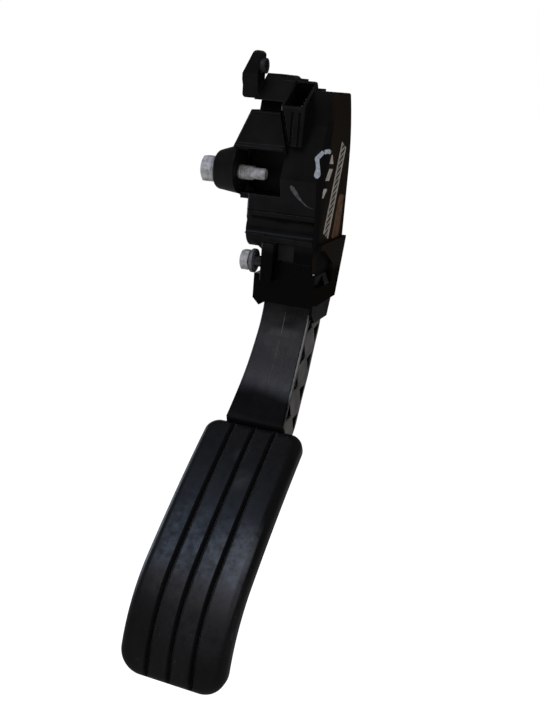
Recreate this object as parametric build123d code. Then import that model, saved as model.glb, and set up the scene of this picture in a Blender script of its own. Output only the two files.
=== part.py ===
"""Hanging accelerator pedal with a contactless position sensor.

The shapes are drawn about the pivot: X runs along the pivot pin from the driver's left to right, Y points
forwards and Z up, with x = 0 in the arm's middle plane. The finished parts are then moved so that the origin
lies on the upper bolt's axis, at the inner face of its boss. Millimetres.
"""
from build123d import *
from math import cos, pi, radians, sin
import os

# Frame: the upper bolt's seat, measured from the pivot
FIXING_LEFT = 31.0
FIXING_FRONT = 12.0
FIXING_RISE = 30.0

# Moulding: walls, how far cuts run past the faces they open, how far joined shapes run into each other
WALL = 3.0
PAST = 1.0
LAP = 1.0

# Pivot
PIN_R = 4.0
PIN_RUNNING_GAP = 0.05
BUSH_WALL = 1.5
BUSH_LENGTH = 6.0
HUB_R = 11.0
HUB_LEFT = 12.5
HUB_RIGHT = 4.0
HUB_GAP = 0.8
HUB_ROOM = 1.5
TRAVEL_ANGLE = 16.0
PIN_BOSS = 2.5
PIN_BOSS_R = 10.0
PIN_SEAT = 1.0

# Arm
ARM_WIDTH = 27.0
ARM_ROOM = 5.5
ARM_FRONT_Y = -10.5
ARM_REAR_Y = 9.5
ARM_KNEE_Z = -42.0
ARM_BEND_Y = -27.0
ARM_BEND_Z = -73.0
ARM_DEPTH = 22.0
ARM_HEEL_DEPTH = 16.0
ARM_HEEL_RISE = 12.0
ARM_HEEL_RUN = 35.0
ARM_REAR_DROP = 8.0
ARM_KNEE_R = 55.0
ARM_BEND_R = 150.0
ARM_REAR_R = 25.0
ARM_FLARE_Z = -58.0
ARM_LEFT_FLARE_Z = -40.0
ARM_WAIST_LEFT = 15.2
ARM_WAIST_Z = -72.0
ARM_FOOT_LEFT = 19.6
ARM_FOOT_RIGHT = 15.6
ARM_FOOT_Z = -105.0
ARM_EDGE_R = 1.2
ARM_STEP_GAP = 0.4
ARM_FLANGE = 2.2
ARM_WEB = 8.0
LATTICE_PITCH = 17.3
LATTICE_CELLS = 4
LATTICE_START = 5.0
LATTICE_RIB = 3.2
LATTICE_SPREAD = 0.85
LEVER_RIM = 0.1
LEVER_ROOM = 1.0
LEVER_HALF_HEIGHT = 4.0

# Pad and foot plate: the front face is a long flat arc that runs into a tighter one
PAD_TOP_Y = -44.2
PAD_TOP_Z = -95.8
PAD_TOP_ANGLE = 57.0
PAD_UPPER_R = 640.0
PAD_UPPER_ANGLE = 7.6
PAD_LOWER_R = 73.0
PAD_LOWER_ANGLE = 46.0
PAD_WIDTH = 55.0
PAD_THICKNESS = 11.0
PAD_TOP_CORNER_R = 8.0
PAD_CORNER_R = 12.0
PAD_EDGE_R = 5.0
PAD_BACK_R = 3.5
PAD_FACE = 5.0
PAD_LIP = 4.0
PAD_GAP = 0.15
GROOVE_PITCH = 11.7
GROOVE_WIDTH = 3.4
GROOVE_DEPTH = 2.2
GROOVE_RUNOUT = 0.25
FOOT_THICKNESS = 5.0
FOOT_RIB = 2.0
FOOT_RIB_HEIGHT = 2.5
FOOT_RIB_ROOT = 0.5
FOOT_RIB_PITCH = 18.0
FOOT_RIB_COUNT = 4

# Housing: the main chamber in side view
FRONT_Y = -18.0
BREAST_Y = -20.5
BREAST_Z = 29.5
BAND_TOP_Z = 18.0
CORE_BOTTOM_Z = -4.0
BROW_Y = -9.0
BROW_Z = 57.0
TOP_Z = 74.0
TOP_FRONT_Y = -4.0
CROWN_SETBACK = 9.5
REAR_STRAIGHT_Z = 33.0
FLUTE_R = 6.0
FLUTE_DEPTH = 3.2
FLUTE_Z = 3.8
SEAM_GAP = 1.6
SEAM_WIDTH = 0.6
SEAM_DEPTH = 0.8
CORE_EDGE_R = 2.5
UNDERCUT = 5.0
UNDERCUT_RISE = 3.5

# Cage under the chamber: cheeks, apron and stops
SIDE_GAP = 0.8
CHEEK_WALL = 1.7
CHEEK_FRONT_Y = -16.0
CHEEK_HEEL_Y = 12.0
CHEEK_BOTTOM = -46.0
CHEEK_TOE = 6.0
LEFT_CHEEK_WALL = 4.1
LEFT_CHEEK_FRONT_Y = -5.0
LEFT_CHEEK_HEEL_Y = 10.0
LEFT_CHEEK_BOTTOM = -40.0
LEFT_BLOCK_TOP = -22.0
LEFT_BLOCK_BOTTOM = -39.0
LEFT_BLOCK_TOE = 3.6
SKIRT_BOTTOM = -35.0
SKIRT_SETBACK = 11.2
REAR_WALL_BOTTOM = -20.0
APRON_TOP = -14.0
APRON_BOTTOM = -37.0
APRON_WALL = 3.5
PANEL_RIGHT = 6.0
PANEL_SETBACK = 1.0
STOP_GAP = 0.4
STOP_THICKNESS = 1.6
STOP_WIDTH = 8.0
STOP_HEIGHT = 8.0
IDLE_STOP_Z = -30.0
KICKDOWN_LOW = -19.0
KICKDOWN_HIGH = -13.0

# Bolt boss and its recess
BOSS_LENGTH = 13.4
BOSS_R_OUTER = 10.0
BOSS_R_INNER = 13.1
BOSS_RISE = 1.6
BOSS_EDGE_R = 2.4
BOSS_WEB = 6.0
BOSS_WEB_SETBACK = 3.0
RECESS_WIDTH = 25.0
RECESS_BEHIND = 14.0
RECESS_BELOW = 10.0
RECESS_ABOVE = 13.0
RECESS_CORNER_R = 8.0

# Left wall, shoulder, ear and roof
LEFT_WALL_DEPTH = 9.5
LEFT_WALL_FRONT_Y = -5.0
LEFT_WALL_LOW = 17.0
UPPER_WALL_INSET = 3.0
UPPER_WALL_FRONT_Y = 6.0
SHELF_INSET = 1.6
SHELF_FRONT_Y = -16.0
LEFT_CORE_FRONT_Y = 8.0
LEFT_CORE_MARGIN = 1.5
SHOULDER_PROUD = 1.2
SHOULDER_TOP = 62.5
SHOULDER_BACK = 14.0
SHOULDER_SLOPE = 9.5
SHOULDER_EDGE_R = 2.5
LEDGE_PROUD = 1.4
LEDGE_HEIGHT = 2.6
EAR_OVERHANG = 3.5
EAR_THICKNESS = 8.5
EAR_LOW_Z = 68.0
EAR_TOP_Z = 91.7
EAR_FRONT_Y = -11.5
EAR_DEPTH = 10.5
EAR_LIP = 1.5
EAR_LIP_Z = 74.0
EAR_NOSE_Z = 80.0
EAR_LEAN = 3.0
EAR_TAPER = 4.6
EAR_ROUND = 2.0
EAR_HOLE_Y = -5.8
EAR_HOLE_Z = 84.3
EAR_BUSH_R = 3.9
EAR_HOLE_R = 2.7
EAR_BUSH_INSET = 3.5
EAR_COLLAR = 2.5
LEFT_WALL_BACK = 20.0
ROOF_FRONT_Y = -14.0
ROOF_FRONT_Z = 67.5
ROOF_CREST_Y = 3.0
ROOF_CREST_Z = 81.0
ROOF_ROOT = 4.0
ROOF_FOOT_Y = 2.0
ROOF_STEP = 1.5
ROOF_STEP_X = 7.8
BEAD_R = 3.2
BEAD_X = -12.0
BEAD_Z = 77.6
BEAD_FRONT_Y = -1.0
BEAD_LENGTH = 10.0
TAB_LEFT = -5.5
TAB_RIGHT = 2.0
TAB_FRONT = 8.0
TAB_BACK = 18.0
TAB_RISE = 1.2

# Connector socket: its mouth slopes up towards the back
SOCKET_LEFT = -10.0
SOCKET_WIDTH = 13.0
SOCKET_WALL = 1.6
SOCKET_LENGTH = 24.0
SOCKET_ANGLE = 34.0
SOCKET_FRONT_Z = 65.0
SOCKET_DEPTH = 16.0
SOCKET_BACK_DROP = 12.0
SOCKET_FOOT_Y = 8.0
SOCKET_FOOT_Z = 46.0
SOCKET_CORNER_R = 2.4
SOCKET_FLUTES = 2
SOCKET_FLUTE = 1.2
SOCKET_FLUTE_DEPTH = 1.3
SOCKET_FLUTE_FIRST = 6.4
SOCKET_FLUTE_PITCH = 4.0
SOCKET_FLUTE_DROP = 2.0
VALLEY_WIDTH = 2.4
VALLEY_DEPTH = 3.0
VALLEY_LEAN = 4.6
TERMINAL_COUNT = 6
TERMINAL_PITCH = 3.2
TERMINAL_SIZE = 1.0
TERMINAL_HEIGHT = 8.0
TERMINAL_ROOT = 3.0
TERMINAL_TIP = 1.0

# Sensor chamber and cover
DIVIDER = 2.5
ROTOR_R = 10.0
ROTOR_BORE_GAP = 2.0
ROTOR_THICKNESS = 1.2
ROTOR_GAP = 0.3
CHAMBER_DEPTH = 5.5
RIM_WALL = 4.0
TUB_FRONT = -11.5
TUB_BACK = 12.5
TUB_BOTTOM = -14.5
COVER_WALL = 2.5
FLANGE_WALL = 2.0
FLANGE_LAP = 1.5
COVER_EDGE_R = 1.4
LATCH_FRONT = -10.0
LATCH_BACK = 8.0
LATCH_HEAD = 1.5
LATCH_SLANT = 10.0
LATCH_SILL = 9.5
NOSE_FRONT = -4.0
NOSE_BACK = 3.0
NOSE_HEIGHT = 5.0
NOSE_GAP = 0.2
SEAL_WIDTH = 1.4
SEAL_DEPTH = 1.2
SEAL_INSET = 1.0
BOARD_THICKNESS = 1.6
BOARD_MARGIN = 1.5
POST_R = 2.0
POST_INSET = 3.5
POST_RISE = 5.5
FRONT_POST_Y = -5.0
FRONT_POST_Z = 40.0
REAR_POST_Y = 19.0
REAR_POST_Z = 56.0
CHIP_HEIGHT = 1.2
CHIP_GAP = 0.4
CHIP_WIDTH = 4.0
CHIP_LENGTH = 5.0
CHIP_PITCH = 8.0

# Springs, their seats and the friction shoe
SPRING_TOP_Z = 38.0
SPRING_TURNS = 6.0
SPRING_ROOM = 1.1
WIRE_SIDES = 6
OUTER_SPRING_R = 5.6
OUTER_WIRE_R = 0.9
INNER_SPRING_R = 3.1
INNER_WIRE_R = 0.7
SEAT_RIM = 0.4
SEAT_OVER_HUB = 0.4
SEAT_THICKNESS = 2.4
SEAT_PILOT_R = 2.0
SEAT_PILOT = 2.5
SHOE_GAP = 0.3
SHOE_INSET = 2.0
SHOE_START_ANGLE = 100.0
SHOE_ANGLE = 70.0

# Fasteners
BOLT_R = 4.0
BOLT_HEX = 13.0
BOLT_HEAD = 6.5
BOLT_FLANGE_R = 7.8
BOLT_FLANGE = 1.6
BOLT_FREE = 14.0
BOLT_POINT_R = 3.2
BOLT_POINT = 6.8
SHANK_RELIEF = 0.4
SLEEVE_WALL = 1.6
SLEEVE_GAP = 0.2
LUG_INSET = 1.5
LUG_LENGTH = 6.8
LUG_END_WALL = 1.3
LUG_EDGE_R = 1.2
LUG_FRONT_WALL = 1.6
LUG_REAR_WALL = 0.5
LUG_TOP = -4.0
LUG_BOTTOM = -24.0
SMALL_BOLT_Z = -15.1
SMALL_BOLT_R = 3.0
SMALL_BOLT_HEX = 10.0
SMALL_BOLT_HEAD = 4.6
SMALL_BOLT_FLANGE_R = 5.6
SMALL_BOLT_FLANGE = 1.2
SMALL_BOLT_GRIP = 4.5
WASHER_R = 6.4
WASHER_THICKNESS = 1.6
WASHER_GAP = 0.2
BRACKET_SLOT = 4.8
INSERT_WALL = 1.2
THREAD_GAP = 0.05

# Worked out along the pivot pin
ARM_HALF = ARM_WIDTH / 2
ROTOR_X = HUB_RIGHT + ROTOR_THICKNESS
DIVIDER_X = ROTOR_X + ROTOR_GAP
CHAMBER_X = DIVIDER_X + DIVIDER
RIM_X = CHAMBER_X + CHAMBER_DEPTH
COVER_X = RIM_X + COVER_WALL
BOARD_X = CHAMBER_X + CHIP_HEIGHT + CHIP_GAP
CHEEK_IN = ARM_HALF + SIDE_GAP
CHEEK_OUT = CHEEK_IN + CHEEK_WALL
FLANGE_OUT = CHEEK_OUT + FLANGE_WALL
CHAMBER_LEFT = -HUB_LEFT - HUB_GAP
LUG_LEFT = -CHEEK_IN + LUG_INSET
LUG_RIGHT = LUG_LEFT + LUG_LENGTH
WASHER_IN = LUG_LEFT - BRACKET_SLOT
WASHER_OUT = WASHER_IN - WASHER_THICKNESS
BOSS_IN = -FIXING_LEFT
BOSS_OUT = BOSS_IN - BOSS_LENGTH
RECESS_RIGHT = BOSS_IN + RECESS_WIDTH
EAR_LEFT = BOSS_IN - EAR_OVERHANG
EAR_RIGHT = EAR_LEFT + EAR_THICKNESS
SHOULDER_LEFT = EAR_LEFT - SHOULDER_PROUD
EAR_BUSH_LEFT = EAR_LEFT + EAR_BUSH_INSET
EAR_BUSH_RIGHT = EAR_RIGHT + EAR_COLLAR
CORE_LEFT = EAR_LEFT + LEFT_WALL_DEPTH
PIN_END = CHAMBER_X - PIN_SEAT
SPRING_X = (HUB_RIGHT - HUB_LEFT) / 2
SOCKET_RIGHT = SOCKET_LEFT + SOCKET_WIDTH

# Worked out in side view
BUSH_R = PIN_R + PIN_RUNNING_GAP + BUSH_WALL
HUB_ROOM_R = HUB_R + HUB_ROOM
SEAT_R = OUTER_SPRING_R + OUTER_WIRE_R + SEAT_RIM
SPRING_Y = HUB_R + SEAT_R - SEAT_OVER_HUB
SPRING_LOW_Z = LEVER_HALF_HEIGHT + SEAT_THICKNESS
LEVER_REACH = SPRING_Y + SEAT_R + LEVER_RIM
REAR_Y = LEVER_REACH + LEVER_ROOM + WALL
ARM_TOP = TUB_BOTTOM - RIM_WALL - ARM_ROOM
APRON_INSIDE = ARM_FRONT_Y - STOP_GAP - STOP_THICKNESS
BOSS_Y = -FIXING_FRONT
BOSS_Z = FIXING_RISE
RECESS_BACK = BOSS_Y + RECESS_BEHIND
RECESS_LOW = BOSS_Z - RECESS_BELOW
RECESS_HIGH = BOSS_Z + RECESS_ABOVE
SLEEVE_R = BOLT_R + SLEEVE_GAP
INSERT_R = SMALL_BOLT_R + THREAD_GAP
SMALL_BOLT_Y = APRON_INSIDE - INSERT_R - INSERT_WALL - LUG_REAR_WALL
LUG_FRONT = SMALL_BOLT_Y - INSERT_R - INSERT_WALL - LUG_FRONT_WALL
HOME = Pos(FIXING_LEFT, FIXING_FRONT, -FIXING_RISE)
LOW = (Align.CENTER, Align.CENTER, Align.MIN)
FAR = 200.0
SAME = 0.01


def slab(face, x_low, x_high):
    """A side view, drawn as (Y, Z), given its width along X."""
    return extrude(Plane.YZ.offset(x_low) * face, amount=x_high - x_low)


def polygon(*points):
    return make_face(Polyline(*points, close=True))


def block(x_low, x_high, y_low, y_high, z_low, z_high):
    middle = ((x_low + x_high) / 2, (y_low + y_high) / 2, (z_low + z_high) / 2)
    return Pos(*middle) * Box(x_high - x_low, y_high - y_low, z_high - z_low)


def rod(x_low, x_high, y, z, radius):
    """A round bar along X."""
    return Pos(x_low, y, z) * Rot(0, 90, 0) * Cylinder(radius, x_high - x_low, align=LOW)


def tube(x_low, x_high, y, z, outer, inner):
    return rod(x_low, x_high, y, z, outer) - rod(x_low - PAST, x_high + PAST, y, z, inner)


# Pad curve
def pad_normal(lean):
    """Direction into the pad, in the side view, where the face leans back by this angle."""
    return Vector(cos(radians(lean)), -sin(radians(lean)))


def pad_along(lean):
    """Direction down the pad's face."""
    return Vector(-sin(radians(lean)), -cos(radians(lean)))


class PadCurve:
    """The pad's front face in side view, and lines at a depth under it."""

    def __init__(self):
        self.lean_top = PAD_TOP_ANGLE
        self.lean_mid = PAD_TOP_ANGLE - PAD_UPPER_ANGLE
        self.lean_end = self.lean_mid - PAD_LOWER_ANGLE
        top = Vector(PAD_TOP_Y, PAD_TOP_Z)
        self.upper_centre = top + pad_normal(self.lean_top) * PAD_UPPER_R
        middle = self.upper_centre - pad_normal(self.lean_mid) * PAD_UPPER_R
        self.lower_centre = middle + pad_normal(self.lean_mid) * PAD_LOWER_R

    def upper(self, lean, depth):
        return self.upper_centre - pad_normal(lean) * (PAD_UPPER_R - depth)

    def lower(self, lean, depth):
        return self.lower_centre - pad_normal(lean) * (PAD_LOWER_R - depth)

    def line(self, depth, top_inset=0.0, end_inset=0.0):
        """The two arcs at a depth, with their ends held back by a length."""
        first = self.lean_top - top_inset / PAD_UPPER_R * 180 / pi
        last = self.lean_end + end_inset / PAD_LOWER_R * 180 / pi
        between = (first + self.lean_mid) / 2
        below = (self.lean_mid + last) / 2
        join = self.upper(self.lean_mid, depth)
        upper_arc = ThreePointArc(self.upper(first, depth), self.upper(between, depth), join)
        lower_arc = ThreePointArc(join, self.lower(below, depth), self.lower(last, depth))
        return upper_arc, lower_arc

    def band(self, shallow, deep, top_inset=0.0, end_inset=0.0):
        """The strip between two depths."""
        front = self.line(shallow, top_inset, end_inset)
        rear = self.line(deep, top_inset, end_inset)
        ends = (Line(front[0] @ 0, rear[0] @ 0), Line(front[1] @ 1, rear[1] @ 1))
        return make_face([*front, *rear, *ends])


pad_curve = PadCurve()


# Pad
def pad_groove(place):
    """A V-shaped groove down the whole face, whose walls run on a little above it."""
    above = GROOVE_DEPTH * GROOVE_RUNOUT
    half = GROOVE_WIDTH / 2 * (1 + GROOVE_RUNOUT)
    root = Plane.YZ.offset(place) * pad_curve.band(-2 * GROOVE_DEPTH, GROOVE_DEPTH, -PAST, -PAST)
    walls = [Plane.YZ.offset(place + side) * pad_curve.band(-2 * GROOVE_DEPTH, -above, -PAST, -PAST)
             for side in (-half, half)]
    return loft([walls[0], root], ruled=True) + loft([root, walls[1]], ruled=True)


def pad_corners(pad):
    """The edges through the pad's thickness, lowest first."""
    straight = [e for e in pad.edges() if e.geom_type == GeomType.LINE]
    return ShapeList([e for e in straight if abs(e.length - PAD_THICKNESS) < SAME]).sort_by(Axis.Z)


def pad_rim(pad, depth):
    """The edges round the curved face at a depth, without the line where its two arcs meet."""
    radii = (PAD_UPPER_R - depth, PAD_LOWER_R - depth)
    faces = [f for f in pad.faces() if f.geom_type == GeomType.CYLINDER
             and min(abs(f.radius - radius) for radius in radii) < SAME]
    return [e for f in faces for e in f.edges()
            if not (e.geom_type == GeomType.LINE and e.length > PAD_WIDTH - PAD_CORNER_R)]


def make_pad():
    half = PAD_WIDTH / 2
    pad = slab(pad_curve.band(0, PAD_THICKNESS), -half, half)
    pad = fillet(pad_corners(pad)[2:], PAD_TOP_CORNER_R)
    pad = fillet(pad_corners(pad)[:2], PAD_CORNER_R)
    pad = fillet(pad_rim(pad, 0), PAD_EDGE_R)
    pad = fillet(pad_rim(pad, PAD_THICKNESS), PAD_BACK_R)
    for place in (-GROOVE_PITCH, 0, GROOVE_PITCH):
        pad -= pad_groove(place)
    hollow = pad_curve.band(PAD_FACE, PAD_THICKNESS + PAST, PAD_LIP, PAD_LIP)
    pad -= slab(hollow, -half + PAD_LIP, half - PAD_LIP)
    throat = pad_curve.band(PAD_FACE, PAD_THICKNESS + PAST, -PAST, 2 * PAD_LIP)
    return pad - slab(throat, -ARM_FOOT_LEFT - PAD_GAP, ARM_FOOT_RIGHT + PAD_GAP)


# Arm
def arm_corners():
    """Corners of the arm's front and rear edges in side view, from the collar down to the pad."""
    run = ARM_HEEL_RUN / PAD_UPPER_R * 180 / pi
    step = pad_curve.upper(PAD_TOP_ANGLE, 0) - pad_along(PAD_TOP_ANGLE) * ARM_STEP_GAP
    back = pad_curve.upper(PAD_TOP_ANGLE, ARM_HEEL_DEPTH) - pad_along(PAD_TOP_ANGLE) * ARM_HEEL_RISE
    heel = pad_curve.upper(PAD_TOP_ANGLE - run, PAD_FACE + FOOT_THICKNESS)
    front = [Vector(ARM_FRONT_Y, ARM_TOP), Vector(ARM_FRONT_Y, ARM_KNEE_Z), Vector(ARM_BEND_Y, ARM_BEND_Z),
             step]
    rear = [Vector(ARM_REAR_Y, ARM_TOP), Vector(ARM_REAR_Y, ARM_KNEE_Z - ARM_REAR_DROP),
            Vector(ARM_BEND_Y + ARM_DEPTH, ARM_BEND_Z - ARM_REAR_DROP / 2), back, heel]
    return front, rear


def arm_outline():
    front_corners, rear_corners = arm_corners()
    front = FilletPolyline(*front_corners, radius=[ARM_KNEE_R, ARM_BEND_R])
    rear = FilletPolyline(*rear_corners, radius=ARM_REAR_R)
    shelf = front_corners[-1] + pad_normal(PAD_TOP_ANGLE) * PAD_FACE
    tuck = rear_corners[-1] - pad_normal(PAD_TOP_ANGLE) * FOOT_THICKNESS
    foot = Polyline(front_corners[-1], shelf, tuck, rear_corners[-1])
    return make_face([front, rear, foot, Line(front_corners[0], rear_corners[0])])


def arm_front_view():
    """The arm's width down its length, drawn as (X, Z): it flares towards the pad, more on the left."""
    top = ARM_TOP + PAST
    left = ThreePointArc((-ARM_HALF, ARM_LEFT_FLARE_Z), (-ARM_WAIST_LEFT, ARM_WAIST_Z),
                         (-ARM_FOOT_LEFT, ARM_FOOT_Z))
    right = TangentArc((ARM_HALF, ARM_FLARE_Z), (ARM_FOOT_RIGHT, ARM_FOOT_Z), tangent=(0, -1))
    head = Polyline((-ARM_HALF, ARM_LEFT_FLARE_Z), (-ARM_HALF, top), (ARM_HALF, top), (ARM_HALF, ARM_FLARE_Z))
    foot = Polyline((-ARM_FOOT_LEFT, ARM_FOOT_Z), (-ARM_FOOT_LEFT, -FAR), (ARM_FOOT_RIGHT, -FAR),
                    (ARM_FOOT_RIGHT, ARM_FOOT_Z))
    return make_face([head, foot, left, right])


def arm_blank():
    """The arm before its pockets, with its two front edges rounded."""
    blank = slab(arm_outline(), -ARM_FOOT_LEFT, ARM_FOOT_RIGHT)
    blank &= extrude(Plane.XZ.offset(-FAR) * arm_front_view(), amount=2 * FAR)
    front_corners, rear_corners = arm_corners()
    middle = polygon(front_corners[0], *[(front_corners[i] + rear_corners[i]) / 2 for i in (0, 1, 2, 3)],
                     front_corners[3] + Vector(-FAR, 0), front_corners[0] + Vector(-FAR, 0))
    ahead = slab(middle, -FAR, FAR)
    long_edges = [e for e in blank.edges() if abs(e.center().X) > ARM_HALF - SAME
                  and abs(e.tangent_at(0.5).Z) > SAME and ahead.is_inside(e @ 0.5)]
    return fillet(long_edges, ARM_EDGE_R)


def lattice_pockets():
    """Triangles whose tips meet at nodes down the middle of the arm's side."""
    front_corners, rear_corners = arm_corners()
    shift = Vector(ARM_FLANGE, 0)
    inner = polygon(*[corner + shift for corner in front_corners],
                    *[corner - shift for corner in reversed(rear_corners[:-1])])
    middle = Polyline(*[(front_corners[i] + rear_corners[i]) / 2 for i in (1, 2, 3)])
    pockets = []
    for cell in range(LATTICE_CELLS):
        along = (LATTICE_START + cell * LATTICE_PITCH) / middle.length
        node = middle @ along
        down = middle % along
        across = Vector(-down.Y, down.X)
        for side in (1, -1):
            tip = node + across * side * LATTICE_RIB / 2
            base = tip + across * side * ARM_DEPTH
            spread = down * LATTICE_SPREAD * ARM_DEPTH
            pockets.append(polygon(tip, base + spread, base - spread) & inner)
    return pockets


def foot_ribs():
    """Stiffening ribs on the back of the foot plate."""
    deep = PAD_FACE + FOOT_THICKNESS
    inset = PAD_LIP + PAD_GAP
    half = PAD_WIDTH / 2 - inset
    long_rib = pad_curve.band(deep - FOOT_RIB_ROOT, deep + FOOT_RIB_HEIGHT, inset, inset + FOOT_RIB)
    ribs = [slab(long_rib, x - FOOT_RIB / 2, x + FOOT_RIB / 2) for x in (-half / 2, 0, half / 2)]
    for number in range(FOOT_RIB_COUNT):
        lean = PAD_TOP_ANGLE - (number + 1) * FOOT_RIB_PITCH / PAD_UPPER_R * 180 / pi
        centre = pad_curve.upper(lean, deep + (FOOT_RIB_HEIGHT - FOOT_RIB_ROOT) / 2)
        cross_rib = Box(2 * half, FOOT_RIB_HEIGHT + FOOT_RIB_ROOT, FOOT_RIB)
        ribs.append(Pos(0, centre.X, centre.Y) * Rot(lean, 0, 0) * cross_rib)
    return ribs


def make_arm():
    arm = arm_blank()
    for pocket in lattice_pockets():
        arm -= slab(pocket, ARM_WEB / 2, ARM_FOOT_RIGHT + PAST)
        arm -= slab(pocket, -ARM_FOOT_LEFT - PAST, -ARM_WEB / 2)
    neck = polygon((-HUB_R, 0), (ARM_FRONT_Y, ARM_TOP - LAP), (ARM_REAR_Y, ARM_TOP - LAP), (HUB_R, 0))
    arm += slab(neck, -HUB_LEFT, HUB_RIGHT)
    arm += rod(-HUB_LEFT, HUB_RIGHT, 0, 0, HUB_R)
    arm += block(-HUB_LEFT, HUB_RIGHT, 0, LEVER_REACH, -LEVER_HALF_HEIGHT, LEVER_HALF_HEIGHT)
    inset = PAD_LIP + PAD_GAP
    foot_half = PAD_WIDTH / 2 - inset
    foot = pad_curve.band(PAD_FACE, PAD_FACE + FOOT_THICKNESS, inset, inset)
    arm += slab(foot, -foot_half, foot_half)
    for rib in foot_ribs():
        arm += rib
    return arm - rod(-HUB_LEFT - PAST, HUB_RIGHT + PAST, 0, 0, BUSH_R)


def make_bush(x_low):
    return tube(x_low, x_low + BUSH_LENGTH, 0, 0, BUSH_R, BUSH_R - BUSH_WALL)


# Housing
def core_outline():
    """Side view of the housing's main chamber, which the cover follows."""
    crown = (REAR_Y - CROWN_SETBACK, TOP_Z)
    straight = (REAR_Y, REAR_STRAIGHT_Z)
    front = Polyline(straight, (REAR_Y, CORE_BOTTOM_Z), (FRONT_Y, CORE_BOTTOM_Z), (FRONT_Y, BAND_TOP_Z),
                     (BREAST_Y, BREAST_Z), (BROW_Y, BROW_Z), (TOP_FRONT_Y, TOP_Z), crown)
    return make_face([front, TangentArc(straight, crown, tangent=(0, 1))])


def tub_outline(grow=0.0, top=LAP):
    """The chamber's lower end, round the pivot."""
    front, back, bottom = TUB_FRONT - grow, TUB_BACK + grow, TUB_BOTTOM - grow
    return polygon((front, bottom), (back, bottom), (back, top), (front, top))


def chamber_outline():
    """The room behind the cover: inside the core's rim, set back behind the flute, and the tub."""
    step_z = FLUTE_Z + FLUTE_R + RIM_WALL
    ahead = polygon((-FAR, -FAR), (TUB_FRONT, -FAR), (TUB_FRONT, step_z), (-FAR, step_z))
    return offset(core_outline(), -RIM_WALL) - ahead + tub_outline()


def socket_axes():
    """Lowest front corner of the socket's mouth, its direction up the slope and its direction out."""
    slope = radians(SOCKET_ANGLE)
    return Vector(FRONT_Y, SOCKET_FRONT_Z), Vector(cos(slope), sin(slope)), Vector(-sin(slope), cos(slope))


def socket_point(along, out):
    corner, up, away = socket_axes()
    point = corner + up * along + away * out
    return point.X, point.Y


def socket_patch(along_low, along_high, out_low, out_high):
    """A rectangle lined up with the socket's mouth."""
    return polygon(socket_point(along_low, out_low), socket_point(along_high, out_low),
                   socket_point(along_high, out_high), socket_point(along_low, out_high))


def make_terminals():
    """Bent blades: out of the socket's floor, and sideways to the board."""
    blades = []
    half = TERMINAL_SIZE / 2
    root = -SOCKET_DEPTH - TERMINAL_ROOT
    tip_x = BOARD_X + BOARD_THICKNESS + TERMINAL_TIP
    middle_x = SOCKET_LEFT + SOCKET_WIDTH / 2
    first = SOCKET_LENGTH / 2 - (TERMINAL_COUNT - 1) * TERMINAL_PITCH / 2
    for number in range(TERMINAL_COUNT):
        along = first + number * TERMINAL_PITCH
        shank = socket_patch(along - half, along + half, root, TERMINAL_HEIGHT - SOCKET_DEPTH)
        tail = socket_patch(along - half, along + half, root, root + TERMINAL_SIZE)
        blades.append(slab(shank, middle_x - half, middle_x + half) + slab(tail, middle_x - half, tip_x))
    return blades


def connector_body():
    """The socket's walls, rounded at their corners, with flutes down the front."""
    side = polygon((FRONT_Y, SOCKET_FOOT_Z), (FRONT_Y, SOCKET_FRONT_Z), socket_point(SOCKET_LENGTH, 0),
                   socket_point(SOCKET_LENGTH, -SOCKET_BACK_DROP), (SOCKET_FOOT_Y, SOCKET_FOOT_Z))
    body = slab(side, SOCKET_LEFT, SOCKET_RIGHT)
    uprights = [e for e in body.edges() if abs(e.tangent_at(0).X) < SAME
                and (abs(e.length - SOCKET_BACK_DROP) < SAME or abs(e.center().Y - FRONT_Y) < SAME)]
    body = fillet(uprights, SOCKET_CORNER_R)
    for number in range(SOCKET_FLUTES):
        x = SOCKET_LEFT + SOCKET_FLUTE_FIRST + number * SOCKET_FLUTE_PITCH
        body -= block(x, x + SOCKET_FLUTE, FRONT_Y - PAST, FRONT_Y + SOCKET_FLUTE_DEPTH, -FAR,
                      SOCKET_FRONT_Z - SOCKET_FLUTE_DROP)
    return body


def socket_valley():
    """The groove between the shoulder and the socket, which leans with the shoulder's edge."""
    top = SOCKET_FRONT_Z - SOCKET_FLUTE_DROP
    bottom = SOCKET_FOOT_Z - PAST
    face = polygon((SOCKET_LEFT, top), (SOCKET_LEFT + VALLEY_WIDTH, top),
                   (SOCKET_LEFT + VALLEY_WIDTH + VALLEY_LEAN, bottom), (SOCKET_LEFT + VALLEY_LEAN, bottom))
    return extrude(Plane.XZ.offset(-FRONT_Y - VALLEY_DEPTH) * face, amount=VALLEY_DEPTH + PAST)


def connector_hole():
    hole = socket_patch(SOCKET_WALL, SOCKET_LENGTH - SOCKET_WALL, -SOCKET_DEPTH, PAST)
    return slab(hole, SOCKET_LEFT + SOCKET_WALL, SOCKET_RIGHT - SOCKET_WALL)


def fixing_recess():
    """The open pocket that the upper bolt's thread stands in."""
    pocket = block(BOSS_IN, RECESS_RIGHT, -FAR, RECESS_BACK, RECESS_LOW, RECESS_HIGH)
    left_edges = pocket.edges().filter_by(Axis.Y).sort_by(Axis.X)[:2]
    return fillet(left_edges, RECESS_CORNER_R)


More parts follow.
